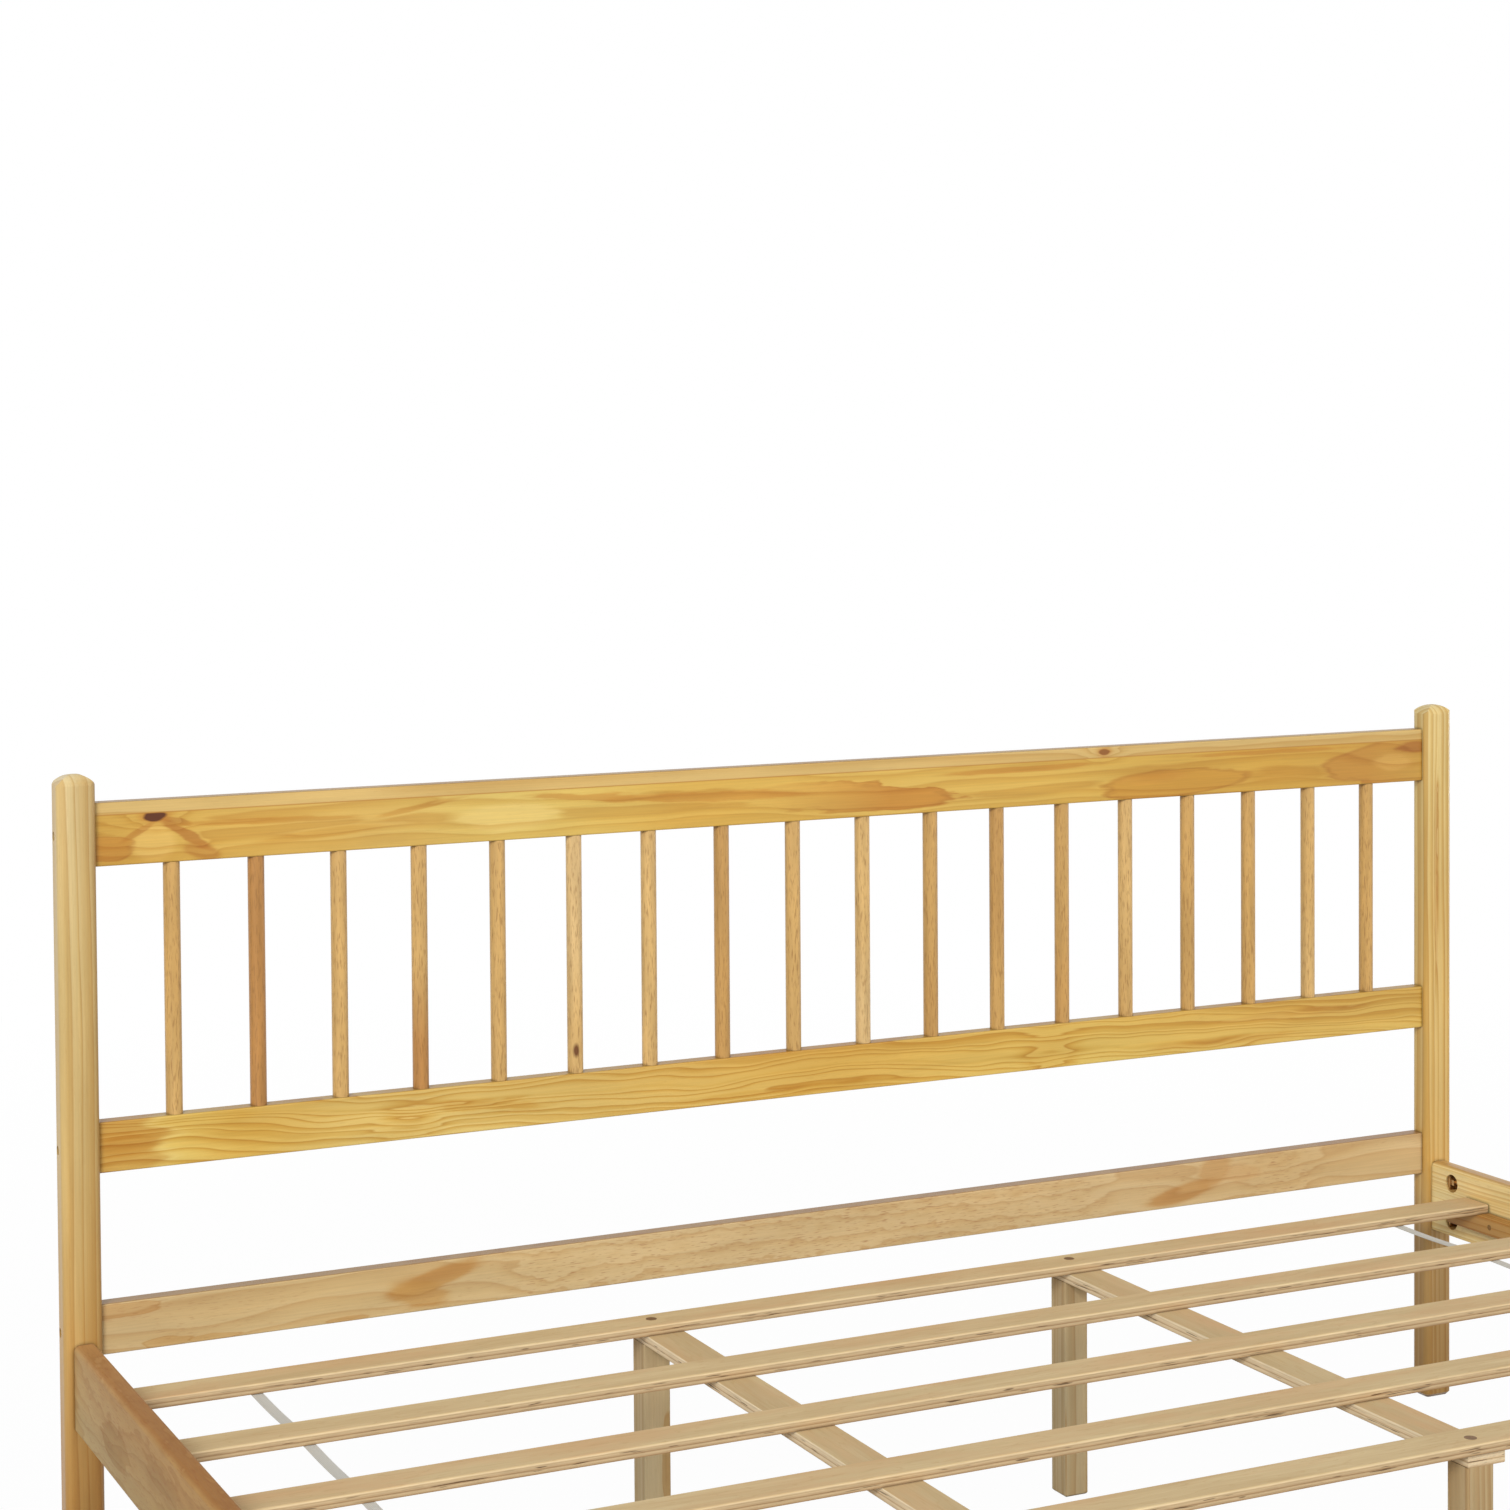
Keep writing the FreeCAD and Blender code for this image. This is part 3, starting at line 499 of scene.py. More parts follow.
    def _rings(self, tree: Tree, place: Link, bends: Feed, span: Feed) -> Node:
        """Count the growth layers between the pith and a point; good and bad years space them unevenly.

        Args:
            tree: The material's node tree.
            place: The point in board space.
            bends: How far the patches and knots lift the layers.
            span: Where the layers lie flat in the face.

        Returns:
            The count.
        """
        noise = mottle(tree, place, (self.wander_length_mm, WANDER_WIDTH_MM, WANDER_WIDTH_MM), 2.0, 0.45)
        bend = add_node(tree, "MapRange", {
            "Value": noise, "To Min": -self.wander_mm, "To Max": self.wander_mm,
        })
        parts = add_node(tree, "SeparateXYZ", [place]).outputs
        leaning = add_node(tree, "Math.MULTIPLY_ADD", [parts[0], self.tilt, bend])
        height = add_node(tree, "Math.ADD", [parts[1], leaning])
        flat = add_node(tree, "CombineXYZ", [height, parts[2]])
        from_pith = add_node(tree, "VectorMath.DISTANCE", [flat, (*self.pith, 0.0)])
        count = add_node(tree, "Math.DIVIDE", [from_pith, self.layer_mm])
        years = add_node(tree, "TexNoise", {"W": count, "Scale": 0.8, "Detail": 1.0}, noise_dimensions="1D")
        uneven = add_node(tree, "Math.MULTIPLY_ADD", [years, 1.6, count])
        if self.ripple:
            waves = mottle(tree, place, RIPPLE_MM, 2.0)
            swell = add_node(tree, "Math.MULTIPLY", [waves, self.ripple])
            uneven = add_node(tree, "Math.MULTIPLY_ADD", [swell, span, uneven])
        return add_node(tree, "Math.ADD", [uneven, bends])

    def _layers(self, tree: Tree, rings: Link, ground: Link) -> Node:
        """Tint each layer: plain earlywood that darkens slowly into latewood and ends in a line."""
        phase = add_node(tree, "Math.FRACT", [rings])
        tint = add_node(tree, "ValToRGB", {"Fac": phase}, stops=(
            (0.0, WHITE), (0.35, "FFFDF6"), (0.75, self.wood.late), (0.9, self.wood.line), (1.0, WHITE),
        ))
        return add_node(tree, "Mix", {"Factor": self.contrast, "A": ground, "B": tint},
                        data_type="RGBA", blend_type="MULTIPLY")

    def _tones_and_shade(self, tree: Tree, place: Link, across: Link, colour: Link) -> Node:
        """Let stretches of the board run lighter or darker, and paint shade across it from side to side and on
        its upward faces.

        Args:
            tree: The material's node tree.
            place: The point in board space.
            across: The point's place across the board, in millimetres.
            colour: The wood's colour.

        Returns:
            The toned colour.
        """
        varied = shaded(tree, colour, mottle(tree, place, TONE_MM, 3.0), (0.3, 0.7), (0.93, 1.07))
        # Painted shade: one side of the board and its upward faces are darkened as the light falls.
        side = add_node(tree, "MapRange", {
            "Value": across, "From Min": -self.half_height, "From Max": self.half_height,
        })
        side_shade = add_node(tree, "ValToRGB", {"Fac": side}, stops=((0.0, self.low_side_shade), (1.0, self.high_side_shade)))
        normal = add_node(tree, "SeparateXYZ", [add_node(tree, "NewGeometry").outputs["Normal"]])
        tone = stained(tree, side_shade, normal.outputs[2], (0.5, 0.9), self.top_shade)
        return add_node(tree, "Mix", {"Factor": 1.0, "A": varied, "B": tone},
                        data_type="RGBA", blend_type="MULTIPLY")

    def _fibres(self, tree: Tree, place: Link, span: Feed, colour: Link) -> tuple[Node, Node]:
        """Draw the fibres and the short resin flecks; both are coarser than real ones so that they show.

        Args:
            tree: The material's node tree.
            place: The point in board space.
            span: Where the layers lie flat in the face, with more flecks.
            colour: The wood's colour.

        Returns:
            The fibres that the bump follows, and the colour.
        """
        fibres = mottle(tree, place, FIBRE_MM, 3.0, 0.6)
        streaked = shaded(tree, colour, fibres, (0.25, 0.75), (0.93, 1.06))
        area = mottle(tree, place, FLECK_AREA_MM, 1.0)
        gate = add_node(tree, "MapRange", {
            "Value": area, "From Min": 0.4, "From Max": 0.6, "To Max": self.flecks,
        })
        more = add_node(tree, "Math.MULTIPLY", [span, 2.0 * self.flecks])
        gate = add_node(tree, "Math.MAXIMUM", [gate, more])
        most = add_node(tree, "Math.MINIMUM", [gate, 1.0])
        dashes = mottle(tree, place, FLECK_MM, 1.0)
        return fibres, stained(tree, streaked, dashes, (0.6, 0.7), self.wood.fleck, most)

    def _knots(self, tree: Tree, along: Link, across: Link, sides: tuple[Link, Link], colour: Link) -> Link:
        """Darken each knot's core; one next to a glue line is cut flat by it.

        Args:
            tree: The material's node tree.
            along: The point's place along the board, in millimetres.
            across: Its place across the board.
            sides: 1 below the glue line and 0 above it, and the other way round.
            colour: The wood's colour.

        Returns:
            The colour with its knots.
        """
        for knot in self.knots:
            shape = knot.mound(tree, along, across, self.seed)
            side = sides[0] if knot.across < self.glue_line else sides[1]
            shape = add_node(tree, "Math.MULTIPLY", [shape, side])
            colour = stained(tree, colour, shape, (0.02, 0.4), knot.halo, 0.6)
            colour = stained(tree, colour, shape, (0.3, 0.55), knot.core)
        return colour


# ---- the other finishes ----


class Tone(Enum):
    """How light or red a hardwood dowel is, as its ground colour."""

    PALE = "D6B57D"
    STRAW = "D1AC6E"
    TAN = "CAA364"
    HONEY = "C59C5C"
    AMBER = "BE9355"
    RUSSET = "B48248"


@dataclass(frozen=True)
class Dowel(Finish):
    """Light tropical hardwood turned to a dowel and lacquered: short dark pores on an even ground."""

    name: str = "spindle_hardwood"
    first_x: float = -876.842
    pitch: float = 103.158
    upper: tuple[Tone, ...] = (
        Tone.HONEY, Tone.RUSSET, Tone.TAN, Tone.TAN, Tone.TAN, Tone.PALE, Tone.STRAW, Tone.AMBER,
        Tone.TAN, Tone.STRAW, Tone.HONEY, Tone.AMBER, Tone.HONEY, Tone.STRAW, Tone.HONEY, Tone.HONEY,
        Tone.TAN, Tone.HONEY,
    )
    lower: tuple[Tone, ...] = (
        Tone.TAN, Tone.RUSSET, Tone.TAN, Tone.RUSSET, Tone.TAN, Tone.STRAW, Tone.STRAW, Tone.AMBER,
        Tone.TAN, Tone.PALE, Tone.AMBER, Tone.HONEY, Tone.AMBER, Tone.TAN, Tone.HONEY, Tone.HONEY,
        Tone.STRAW, Tone.HONEY,
    )
    border_z: Pair = (660.0, 760.0)
    drift_mm: Triple = (9.0, 9.0, 150.0)
    pore_mm: Triple = (1.7, 1.7, 15.0)
    pore: str = "8E6536"
    pin_knot: Pair = (-363.5, 633.0)
    pin_knot_half: Pair = (5.0, 11.0)

    def surface(self, tree: Tree) -> Node:
        """Build one surface whose ground colour changes from spindle to spindle."""
        place = self.place(tree)
        parts = add_node(tree, "SeparateXYZ", [place]).outputs
        start, count = self.first_x - self.pitch / 2, len(self.upper)
        number = add_node(tree, "MapRange", {
            "Value": parts[0], "From Min": start, "From Max": start + self.pitch * count,
        })
        halves = []
        for tones in (self.lower, self.upper):
            stops = [(i / count, tone.value) for i, tone in enumerate(tones)]
            halves.append(add_node(tree, "ValToRGB", {"Fac": number}, stops=stops))
            halves[-1].color_ramp.interpolation = "CONSTANT"
        ground = stained(tree, halves[0], parts[2], self.border_z, halves[1])
        drift = mottle(tree, place, self.drift_mm, 2.0)
        toned = shaded(tree, ground, drift, (0.3, 0.7), (0.86, 1.12))
        # The pores are drawn longer and wider than real ones so that they show.
        pores = mottle(tree, place, self.pore_mm, 2.0, 0.6)
        marks = add_node(tree, "MapRange", {
            "Value": pores, "From Min": 0.52, "From Max": 0.68, "To Max": 0.6,
        })
        pored = add_node(tree, "Mix", {"Factor": marks, "A": toned, "B": self.pore}, data_type="RGBA")
        bump = add_node(tree, "Bump", {"Height": marks, "Strength": 0.15, "Distance": 0.2 * MM}, invert=True)
        return add_node(tree, "BsdfPrincipled", {
            "Base Color": self.joint_line_and_shade(tree, self._pin_knot(tree, place, pored)), "Roughness": 0.4,
            "Normal": bump, "Coat Weight": 0.15, "Coat Roughness": COAT_ROUGHNESS, **GLOSS,
        })

    def _pin_knot(self, tree: Tree, place: Link, colour: Link) -> Node:
        """Darken the small upright pin knot near the foot of one spindle.

        Args:
            tree: The material's node tree.
            place: The point in millimetres.
            colour: The wood's colour.

        Returns:
            The colour with the knot.
        """
        scale = (1.0 / self.pin_knot_half[0], 0.0, 1.0 / self.pin_knot_half[1])
        middle = (-self.pin_knot[0] * scale[0], 0.0, -self.pin_knot[1] * scale[2])
        reach = add_node(tree, "VectorMath.MULTIPLY_ADD", [place, scale, middle])
        away = add_node(tree, "VectorMath.LENGTH", [reach])
        return stained(tree, colour, away, (1.0, 0.45), "5E2F17", 0.9)


@dataclass(frozen=True)
class Plywood(Finish):
    """Poplar plywood sawn into strips and sanded: a plain face veneer, and plies along every edge."""

    name: str
    run: Run
    bottom: float
    thick: float
    face: tuple[str, str] = ("DAC396", "C9AE80")
    blush: str = "D2AA7C"
    vein: str = "BC9866"
    # The top band of each edge: the face ply, painted lighter than the face as a highlight on the arris.
    arris_ply_and_highlight: str = "E2CBA0"
    light_ply: str = "CDB48C"
    mid_ply: str = "BC9F78"
    dark_ply: str = "98764F"
    void: str = "54391F"
    grain_mm: Triple = (90.0, 2.2, 2.2)
    drift_mm: Triple = (210.0, 24.0, 26.0)
    cloud_mm: Triple = (330.0, 60.0, 70.0)
    wave_mm: Triple = (260.0, math.inf, 40.0)
    torn_mm: Triple = (30.0, 1.3, 4.0)
    void_mm: Triple = (38.0, 2.0, 30.0)

    def surface(self, tree: Tree) -> Node:
        """Build the surface: the veneer on the flat faces, the plies on the upright ones."""
        place = self.place(tree, self.run)
        veneer, fibres = self._veneer(tree, place)
        normal = add_node(tree, "NewGeometry").outputs["Normal"]
        up = add_node(tree, "SeparateXYZ", [normal]).outputs[2]
        flat = add_node(tree, "Math.ABSOLUTE", [up])
        both = stained(tree, self._edge(tree, place), flat, (0.45, 0.8), veneer)
        bump = add_node(tree, "Bump", {"Height": fibres, "Strength": 0.15, "Distance": 0.3 * MM})
        return add_node(tree, "BsdfPrincipled", {
            "Base Color": self.joint_line_and_shade(tree, both), "Roughness": 0.6, "Normal": bump, **GLOSS,
        })

    def _veneer(self, tree: Tree, place: Link) -> tuple[Node, Node]:
        """Draw the face veneer: long soft grain, cloudy tones and a wavy line here and there.

        Args:
            tree: The material's node tree.
            place: The point in millimetres.

        Returns:
            The colour, and the fibres that the bump follows.
        """
        fibres = mottle(tree, place, self.grain_mm, 4.0, 0.6)
        drift = mottle(tree, place, self.drift_mm, 3.0, 0.55)
        both = add_node(tree, "Math.MULTIPLY_ADD", [fibres, 0.45, drift])
        colour = stained(tree, self.face[0], both, (0.5, 0.95), self.face[1])
        clouds = mottle(tree, place, self.cloud_mm, 4.0, 0.6)
        colour = stained(tree, colour, clouds, (0.46, 0.66), self.blush, 0.75)
        folds = add_node(tree, "Math.MULTIPLY", [drift, 9.0])
        phase = add_node(tree, "Math.FRACT", [folds])
        return stained(tree, colour, phase, (0.82, 1.0), self.vein, 0.35), fibres

    def _edge(self, tree: Tree, place: Link) -> Node:
        """Draw the plies by their height in the strip, with torn fibres and a few long dark voids.

        Args:
            tree: The material's node tree.
            place: The point in millimetres.

        Returns:
            The colour.
        """
        height = add_node(tree, "SeparateXYZ", [place]).outputs[1]
        wave = mottle(tree, place, self.wave_mm, 1.0)
        shift = add_node(tree, "MapRange", {"Value": wave, "To Min": -0.1, "To Max": 0.1})
        level = add_node(tree, "MapRange", {
            "Value": height, "From Min": self.bottom, "From Max": self.bottom + self.thick,
        }, clamp=False)
        moved = add_node(tree, "Math.ADD", [level, shift])
        # The plies from the bottom of the edge up; the top band is the face ply with a painted highlight on the
        # arris.
        plies = add_node(tree, "ValToRGB", {"Fac": moved}, stops=(
            (0.0, self.dark_ply), (0.14, self.mid_ply), (0.3, self.light_ply), (0.38, self.mid_ply),
            (0.44, self.dark_ply), (0.5, self.mid_ply), (0.7, self.light_ply), (0.76, self.mid_ply),
            (0.9, self.arris_ply_and_highlight), (1.0, self.arris_ply_and_highlight),
        ))
        torn = mottle(tree, place, self.torn_mm, 3.0, 0.6)
        streaked = shaded(tree, plies, torn, (0.3, 0.7), (0.86, 1.1))
        gaps = mottle(tree, place, self.void_mm, 1.0)
        inner = add_node(tree, "MapRange", {
            "Value": distance(tree, moved, 0.46), "From Min": 0.32, "From Max": 0.2, "To Max": 0.85,
        })
        return stained(tree, streaked, gaps, (0.64, 0.69), self.void, inner)


@dataclass(frozen=True)
class Plated(Finish):
    """Plated steel hardware: dull, with darker patches where the plating has coloured."""

    name: str
    light: str
    dark: str
    roughness: float = 0.4

    def surface(self, tree: Tree) -> Node:
        """Build the metal with its coloured patches."""
        patches = mottle(tree, self.place(tree), (3.0, 3.0, 3.0), 3.0)
        colour = add_node(tree, "Mix", {"Factor": patches, "A": self.light, "B": self.dark}, data_type="RGBA")
        bump = add_node(tree, "Bump", {"Height": patches, "Strength": 0.1, "Distance": 0.1 * MM})
        return add_node(tree, "BsdfPrincipled", {
            "Base Color": colour, "Roughness": self.roughness, "Normal": bump, "Metallic": 1.0,
        })


@dataclass(frozen=True)
class Webbing(Finish):
    """White polyester webbing in a plain weave: fine ribs across it and along it."""

    name: str = "woven_webbing"
    rib_mm: float = 2.0
    wave_at_scale_1: float = 1.0 / 3.18

    def surface(self, tree: Tree) -> Node:
        """Build the weave; the ribs are drawn coarser than real ones so that they show."""
        feeds = {"Vector": self.place(tree), "Scale": self.wave_at_scale_1 / self.rib_mm}
        ribs = [add_node(tree, "TexWave", feeds, bands_direction=way).outputs["Fac"] for way in ("Y", "X")]
        weave = add_node(tree, "Math.MULTIPLY", [ribs[0], ribs[1]])
        colour = add_node(tree, "Mix", {"Factor": weave, "A": "BDBBB2", "B": "D2D0C8"}, data_type="RGBA")
        bump = add_node(tree, "Bump", {"Height": weave, "Strength": 0.4, "Distance": 0.3 * MM})
        return add_node(tree, "BsdfPrincipled", {
            "Base Color": colour, "Roughness": 0.8, "Normal": bump, "Sheen Weight": 0.2,
        })


@dataclass(frozen=True)
class Paper(Finish):
    """White background paper: the camera sees it white, with a faint shadow that fades away from the bed."""

    name: str = "white_paper_floor"
    shadow_reach: Pair = (1.6, 5.0)
    whiteness: Pair = (0.975, 1.0)

    def surface(self, tree: Tree) -> Node:
        """Build the paper, which is plain grey to the light that falls on the bed."""
        paper = add_node(tree, "BsdfDiffuse", {"Color": "C8C8C8"})
        white = add_node(tree, "Emission", {"Color": WHITE, "Strength": 1.0})
        point = add_node(tree, "TexCoord").outputs["Object"]
        away = add_node(tree, "VectorMath.LENGTH", [point])
        plain = add_node(tree, "MapRange", {
            "Value": away, "From Min": self.shadow_reach[0], "From Max": self.shadow_reach[1],
            "To Min": self.whiteness[0], "To Max": self.whiteness[1],
        })
        lit = add_node(tree, "MixShader", [plain, paper, white])
        return add_node(tree, "MixShader", [plainly_seen(tree), paper, lit])


# ---- sub-assemblies ----


SIDES = ("left", "right")
ENDS = ("head", "foot")


def dress(names: Sequence[str], finish: Finish) -> None:
    """Give CAD nodes a finish in place of the imported material.

    Args:
        names: The nodes' names.
        finish: Their new finish.
    """
    material = finish.material()
    for name in names:
        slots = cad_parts[name].data.materials
        slots.clear()
        slots.append(material)
        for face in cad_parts[name].data.polygons:
            face.material_index = 0
    LOG.info("%s: %d nodes", material.name, len(names))


@dataclass
class Headboard:
    """The head posts, the three rails between them and the spindles."""

    post_x: float = 993.0
    post_y: float = 1030.0
    post_half: float = 507.5
    rail_y: float = 1034.5
    rail_half: float = 970.0
    top_rail_z: float = 942.5
    mid_rail_z: float = 574.0
    low_rail_z: float = 359.0
    spindles: int = 18

    def dress(self) -> None:
        """Give the posts, the rails and the spindles their wood."""
        dress(["head_post_left"], Board(
            "post_pine_left", Run.UPRIGHT, (-self.post_x, self.post_y, self.post_half), self.post_half,
            ground=((-507, "9A763B"), (-320, "B48C50"), (-150, "CBAA6F"), (60, "D3BA83"), (300, "D2BD8A"),
                    (507, "D9C596")),
            pith=(-240, -70), tilt=0.006, layer_mm=12, wander_mm=8, wander_length_mm=500, contrast=0.6,
            flecks=0.12, low_side_shade="FFFCF4", high_side_shade="D8CBB6", half_height=23, seed=1,
        ))
        dress(["head_post_right"], Board(
            "post_pine_right", Run.UPRIGHT, (self.post_x, self.post_y, self.post_half), self.post_half,
            ground=((-507, "A38149"), (-250, "B79A6A"), (-180, "D5B472"), (0, "D9BD7C"), (200, "D5B979"),
                    (400, "DBC589"), (507, "DEC990")),
            pith=(-170, -80), tilt=0.004, layer_mm=8, wander_mm=6, wander_length_mm=600, contrast=0.75,
            flecks=0.12, low_side_shade="FFFBF3", high_side_shade="F3ECE0", half_height=23, seed=2,
            figures=(Figure(260, -6, 150, 4, "C08E4C", 0.4, lift=1.4),),
        ))
        dress(["head_top_rail"], self._top_rail())
        dress(["head_mid_rail"], self._mid_rail())
        dress(["head_low_rail"], self._low_rail())
        dress([f"spindle_{n + 1:02d}" for n in range(self.spindles)], Dowel())

    def _top_rail(self) -> Board:
        """Describe the top rail: golden, with flame figure, a glued-on strip and a knot cut flat by it."""
        return Board(
            "top_rail_pine", Run.WIDTHWISE, (0, self.rail_y, self.top_rail_z), self.rail_half, half_height=37.5,
            ground=((-970, "C59B46"), (-880, "CCA44E"), (-620, "D0AC5C"), (-450, "DABE68"), (-200, "D2AA50"),
                    (120, "D3AF58"), (400, "D0AA51"), (700, "C99D42"), (970, "C79E49")),
            pith=(-190, 30), tilt=0.008, layer_mm=20, wander_mm=22, wander_length_mm=330, contrast=0.5,
            flecks=0.08, glue_line=22.5, top_shade="CFC4B4", strip="CEAE6D", seed=3,
            figures=(
                Figure(-960, -18, 34, 17, "BB8233", 0.75, crisp=True),
                Figure(-900, -14, 26, 22, "E0BA68", ragged=0.2),
                Figure(-861, -6, 32, 7.5, "A96C2A", 0.75, -19, ragged=0.2),
                Figure(-842, -27, 22, 11, "B0762E", slant=-6, ragged=0.2),
                Figure(-920, 0, 20, 4.5, "B0722C", 0.55, 10, ragged=0.2),
                Figure(-875, 11, 20, 4, "A36426", 0.5, -6),
                Figure(-760, 5, 130, 4, "BC8735", slant=-2),
                Figure(-690, -14, 80, 6, "C4913A", 0.5, 6),
                Figure(-570, 10, 55, 4, "BA8433", 0.55, 9),
                Figure(-450, -8, 70, 17, "E2C576", 0.65),
                Figure(-350, 11, 80, 5, "BE8635", 0.65, -5),
                Figure(-170, 2, 150, 7, "C18835", 0.7, -4),
                Figure(40, -11, 155, 19, "BC7F2F", 0.85, -9, taper=0.2, ragged=0.35, fade=1, crisp=True),
                Figure(290, 13, 120, 4.5, "BF8735", 0.7, 1),
                Figure(545, -18, 122, 19, "C38F36", 0.85, 4, taper=0.2, ragged=0.25, crisp=True),
                Figure(500, -10, 55, 8, "C9933D"),
                Figure(700, 17, 140, 3.5, "BC8332"),
                Figure(905, -10, 115, 36, "B98034", 0.7, taper=-0.85, ragged=0.3, fade=-1, crisp=True),
                Figure(918, -8, 34, 12, "D0A252", 0.75),
                Figure(958, 12, 34, 9, "A16226", 0.75),
            ),
            knots=(Knot(-898, 19, 13, 7, core="5A2F16"), Knot(423, 30, 9, 4.5, core="8E5A26")),
        )

    def _mid_rail(self) -> Board:
        """Describe the middle rail: wavy streaks of yellow and orange, and clear wood between."""
        return Board(
            "mid_rail_pine", Run.WIDTHWISE, (0, self.rail_y, self.mid_rail_z), self.rail_half,
            ground=((-970, "C59C4E"), (-905, "C7A153"), (-890, "DCC476"), (-870, "D8BC67"), (-800, "D0AC55"),
                    (-600, "D9C077"), (0, "D6B05A"), (400, "D8BB66"), (700, "D4B25E"), (970, "D6B45F")),
            pith=(-45, 22), tilt=0.03, wander_mm=28, wander_length_mm=260, contrast=0.85,
            flecks=0.14, seed=4, high_side_shade="F8F0E4", top_shade="D8CCBA",
            figures=(
                Figure(-935, 0, 36, 14, "BA8938", 0.55),
                Figure(-588, -16, 42, 32, "D0A950", 0.3, lift=1.1, ragged=0.2),
                Figure(-480, 2, 80, 8, "CB9E43", 0.45, -8, lift=0.8),
                Figure(-60, -20, 160, 5, "CB9E43", 0.5),
                Figure(336, -16, 42, 32, "CEA650", 0.35, lift=1.2, ragged=0.2),
                Figure(620, -18, 130, 6, "C99B46", 0.5),
                Figure(760, 10, 120, 6, "C89C4E", 0.4),
            ),
        )

    def _low_rail(self) -> Board:
        """Describe the low rail: pale tan, with two darker flames and rows of short reddish dashes."""
        return Board(
            "low_rail_pine", Run.WIDTHWISE, (0, self.rail_y, self.low_rail_z), self.rail_half, wood=GREY_TAN,
            ground=((-970, "C6AC7E"), (-700, "C8AD7C"), (-300, "CCB284"), (200, "CBAF80"), (480, "CEB385"),
                    (700, "CAAC7B"), (970, "CFB384")),
            pith=(-150, 18), tilt=0.012, layer_mm=24, wander_mm=26, wander_length_mm=280, contrast=0.5,
            flecks=0.24, fleck_spans=((-480, 450), (640, 800)), ripple=1.5, top_shade="CCB89E", seed=5,
            figures=(
                Figure(-556, 8, 62, 13, "B98B4C", 0.8, 15, ragged=0.35),
                Figure(-577, -8, 38, 19, "BC9050", 0.7, -8, ragged=0.35),
                Figure(-945, 20, 46, 9, "BD945C", crisp=True),
                Figure(-893, -24, 30, 6, "BE965A", crisp=True),
                Figure(-835, -26, 32, 4, "BE965A", crisp=True),
                Figure(-670, -27, 26, 3, "BD945A", crisp=True),
                Figure(604, 14, 28, 22, "BD9159", 0.7, 5, ragged=0.35),
                Figure(548, -12, 58, 13, "BA8B4F", 0.8, 10, ragged=0.35),
                Figure(648, 6, 32, 14, "C39A66", 0.5),
            ),
        )


@dataclass
class FootEnd:
    """The foot posts and the rail between them."""

    post_x: float = 993.0
    post_y: float = -1030.0
    post_half: float = 191.5
    rail_y: float = -1034.5
    rail_z: float = 298.0
    rail_half: float = 970.0

    def dress(self) -> None:
        """Give the foot end the same lacquered pine as the head."""
        for seed, side, x in ((6, "left", -self.post_x), (7, "right", self.post_x)):
            dress([f"foot_post_{side}"], Board(
                f"foot_post_pine_{side}", Run.UPRIGHT, (x, self.post_y, self.post_half), self.post_half,
                ground=((-191, "BE9A5B"), (0, "C9AB69"), (191, "D4BA7A")), pith=(-190, 80), tilt=0.006,
                layer_mm=10, wander_mm=7, wander_length_mm=500, contrast=0.65, flecks=0.12, half_height=23,
                low_side_shade="FFFCF4", high_side_shade="E6DCCB", seed=seed,
            ))
        dress(["foot_rail"], Board(
            "foot_rail_pine", Run.WIDTHWISE, (0, self.rail_y, self.rail_z), self.rail_half, half_height=50,
            ground=((-970, "CCA857"), (-300, "D3B365"), (350, "CAA453"), (970, "D0AE5F")),
            pith=(-90, -30), layer_mm=14, wander_mm=24, wander_length_mm=300, flecks=0.12, seed=8,
            figures=(
                Figure(-640, -14, 110, 15, "BD8C3D", 0.7, taper=0.5, crisp=True),
                Figure(120, 12, 130, 14, "C0923C", taper=-0.5, crisp=True),
                Figure(720, -18, 90, 12, "BF8C3B", taper=0.4, crisp=True),
            ),
            knots=(Knot(-380, 22, 9, 7), Knot(480, -26, 7, 6)),
        ))


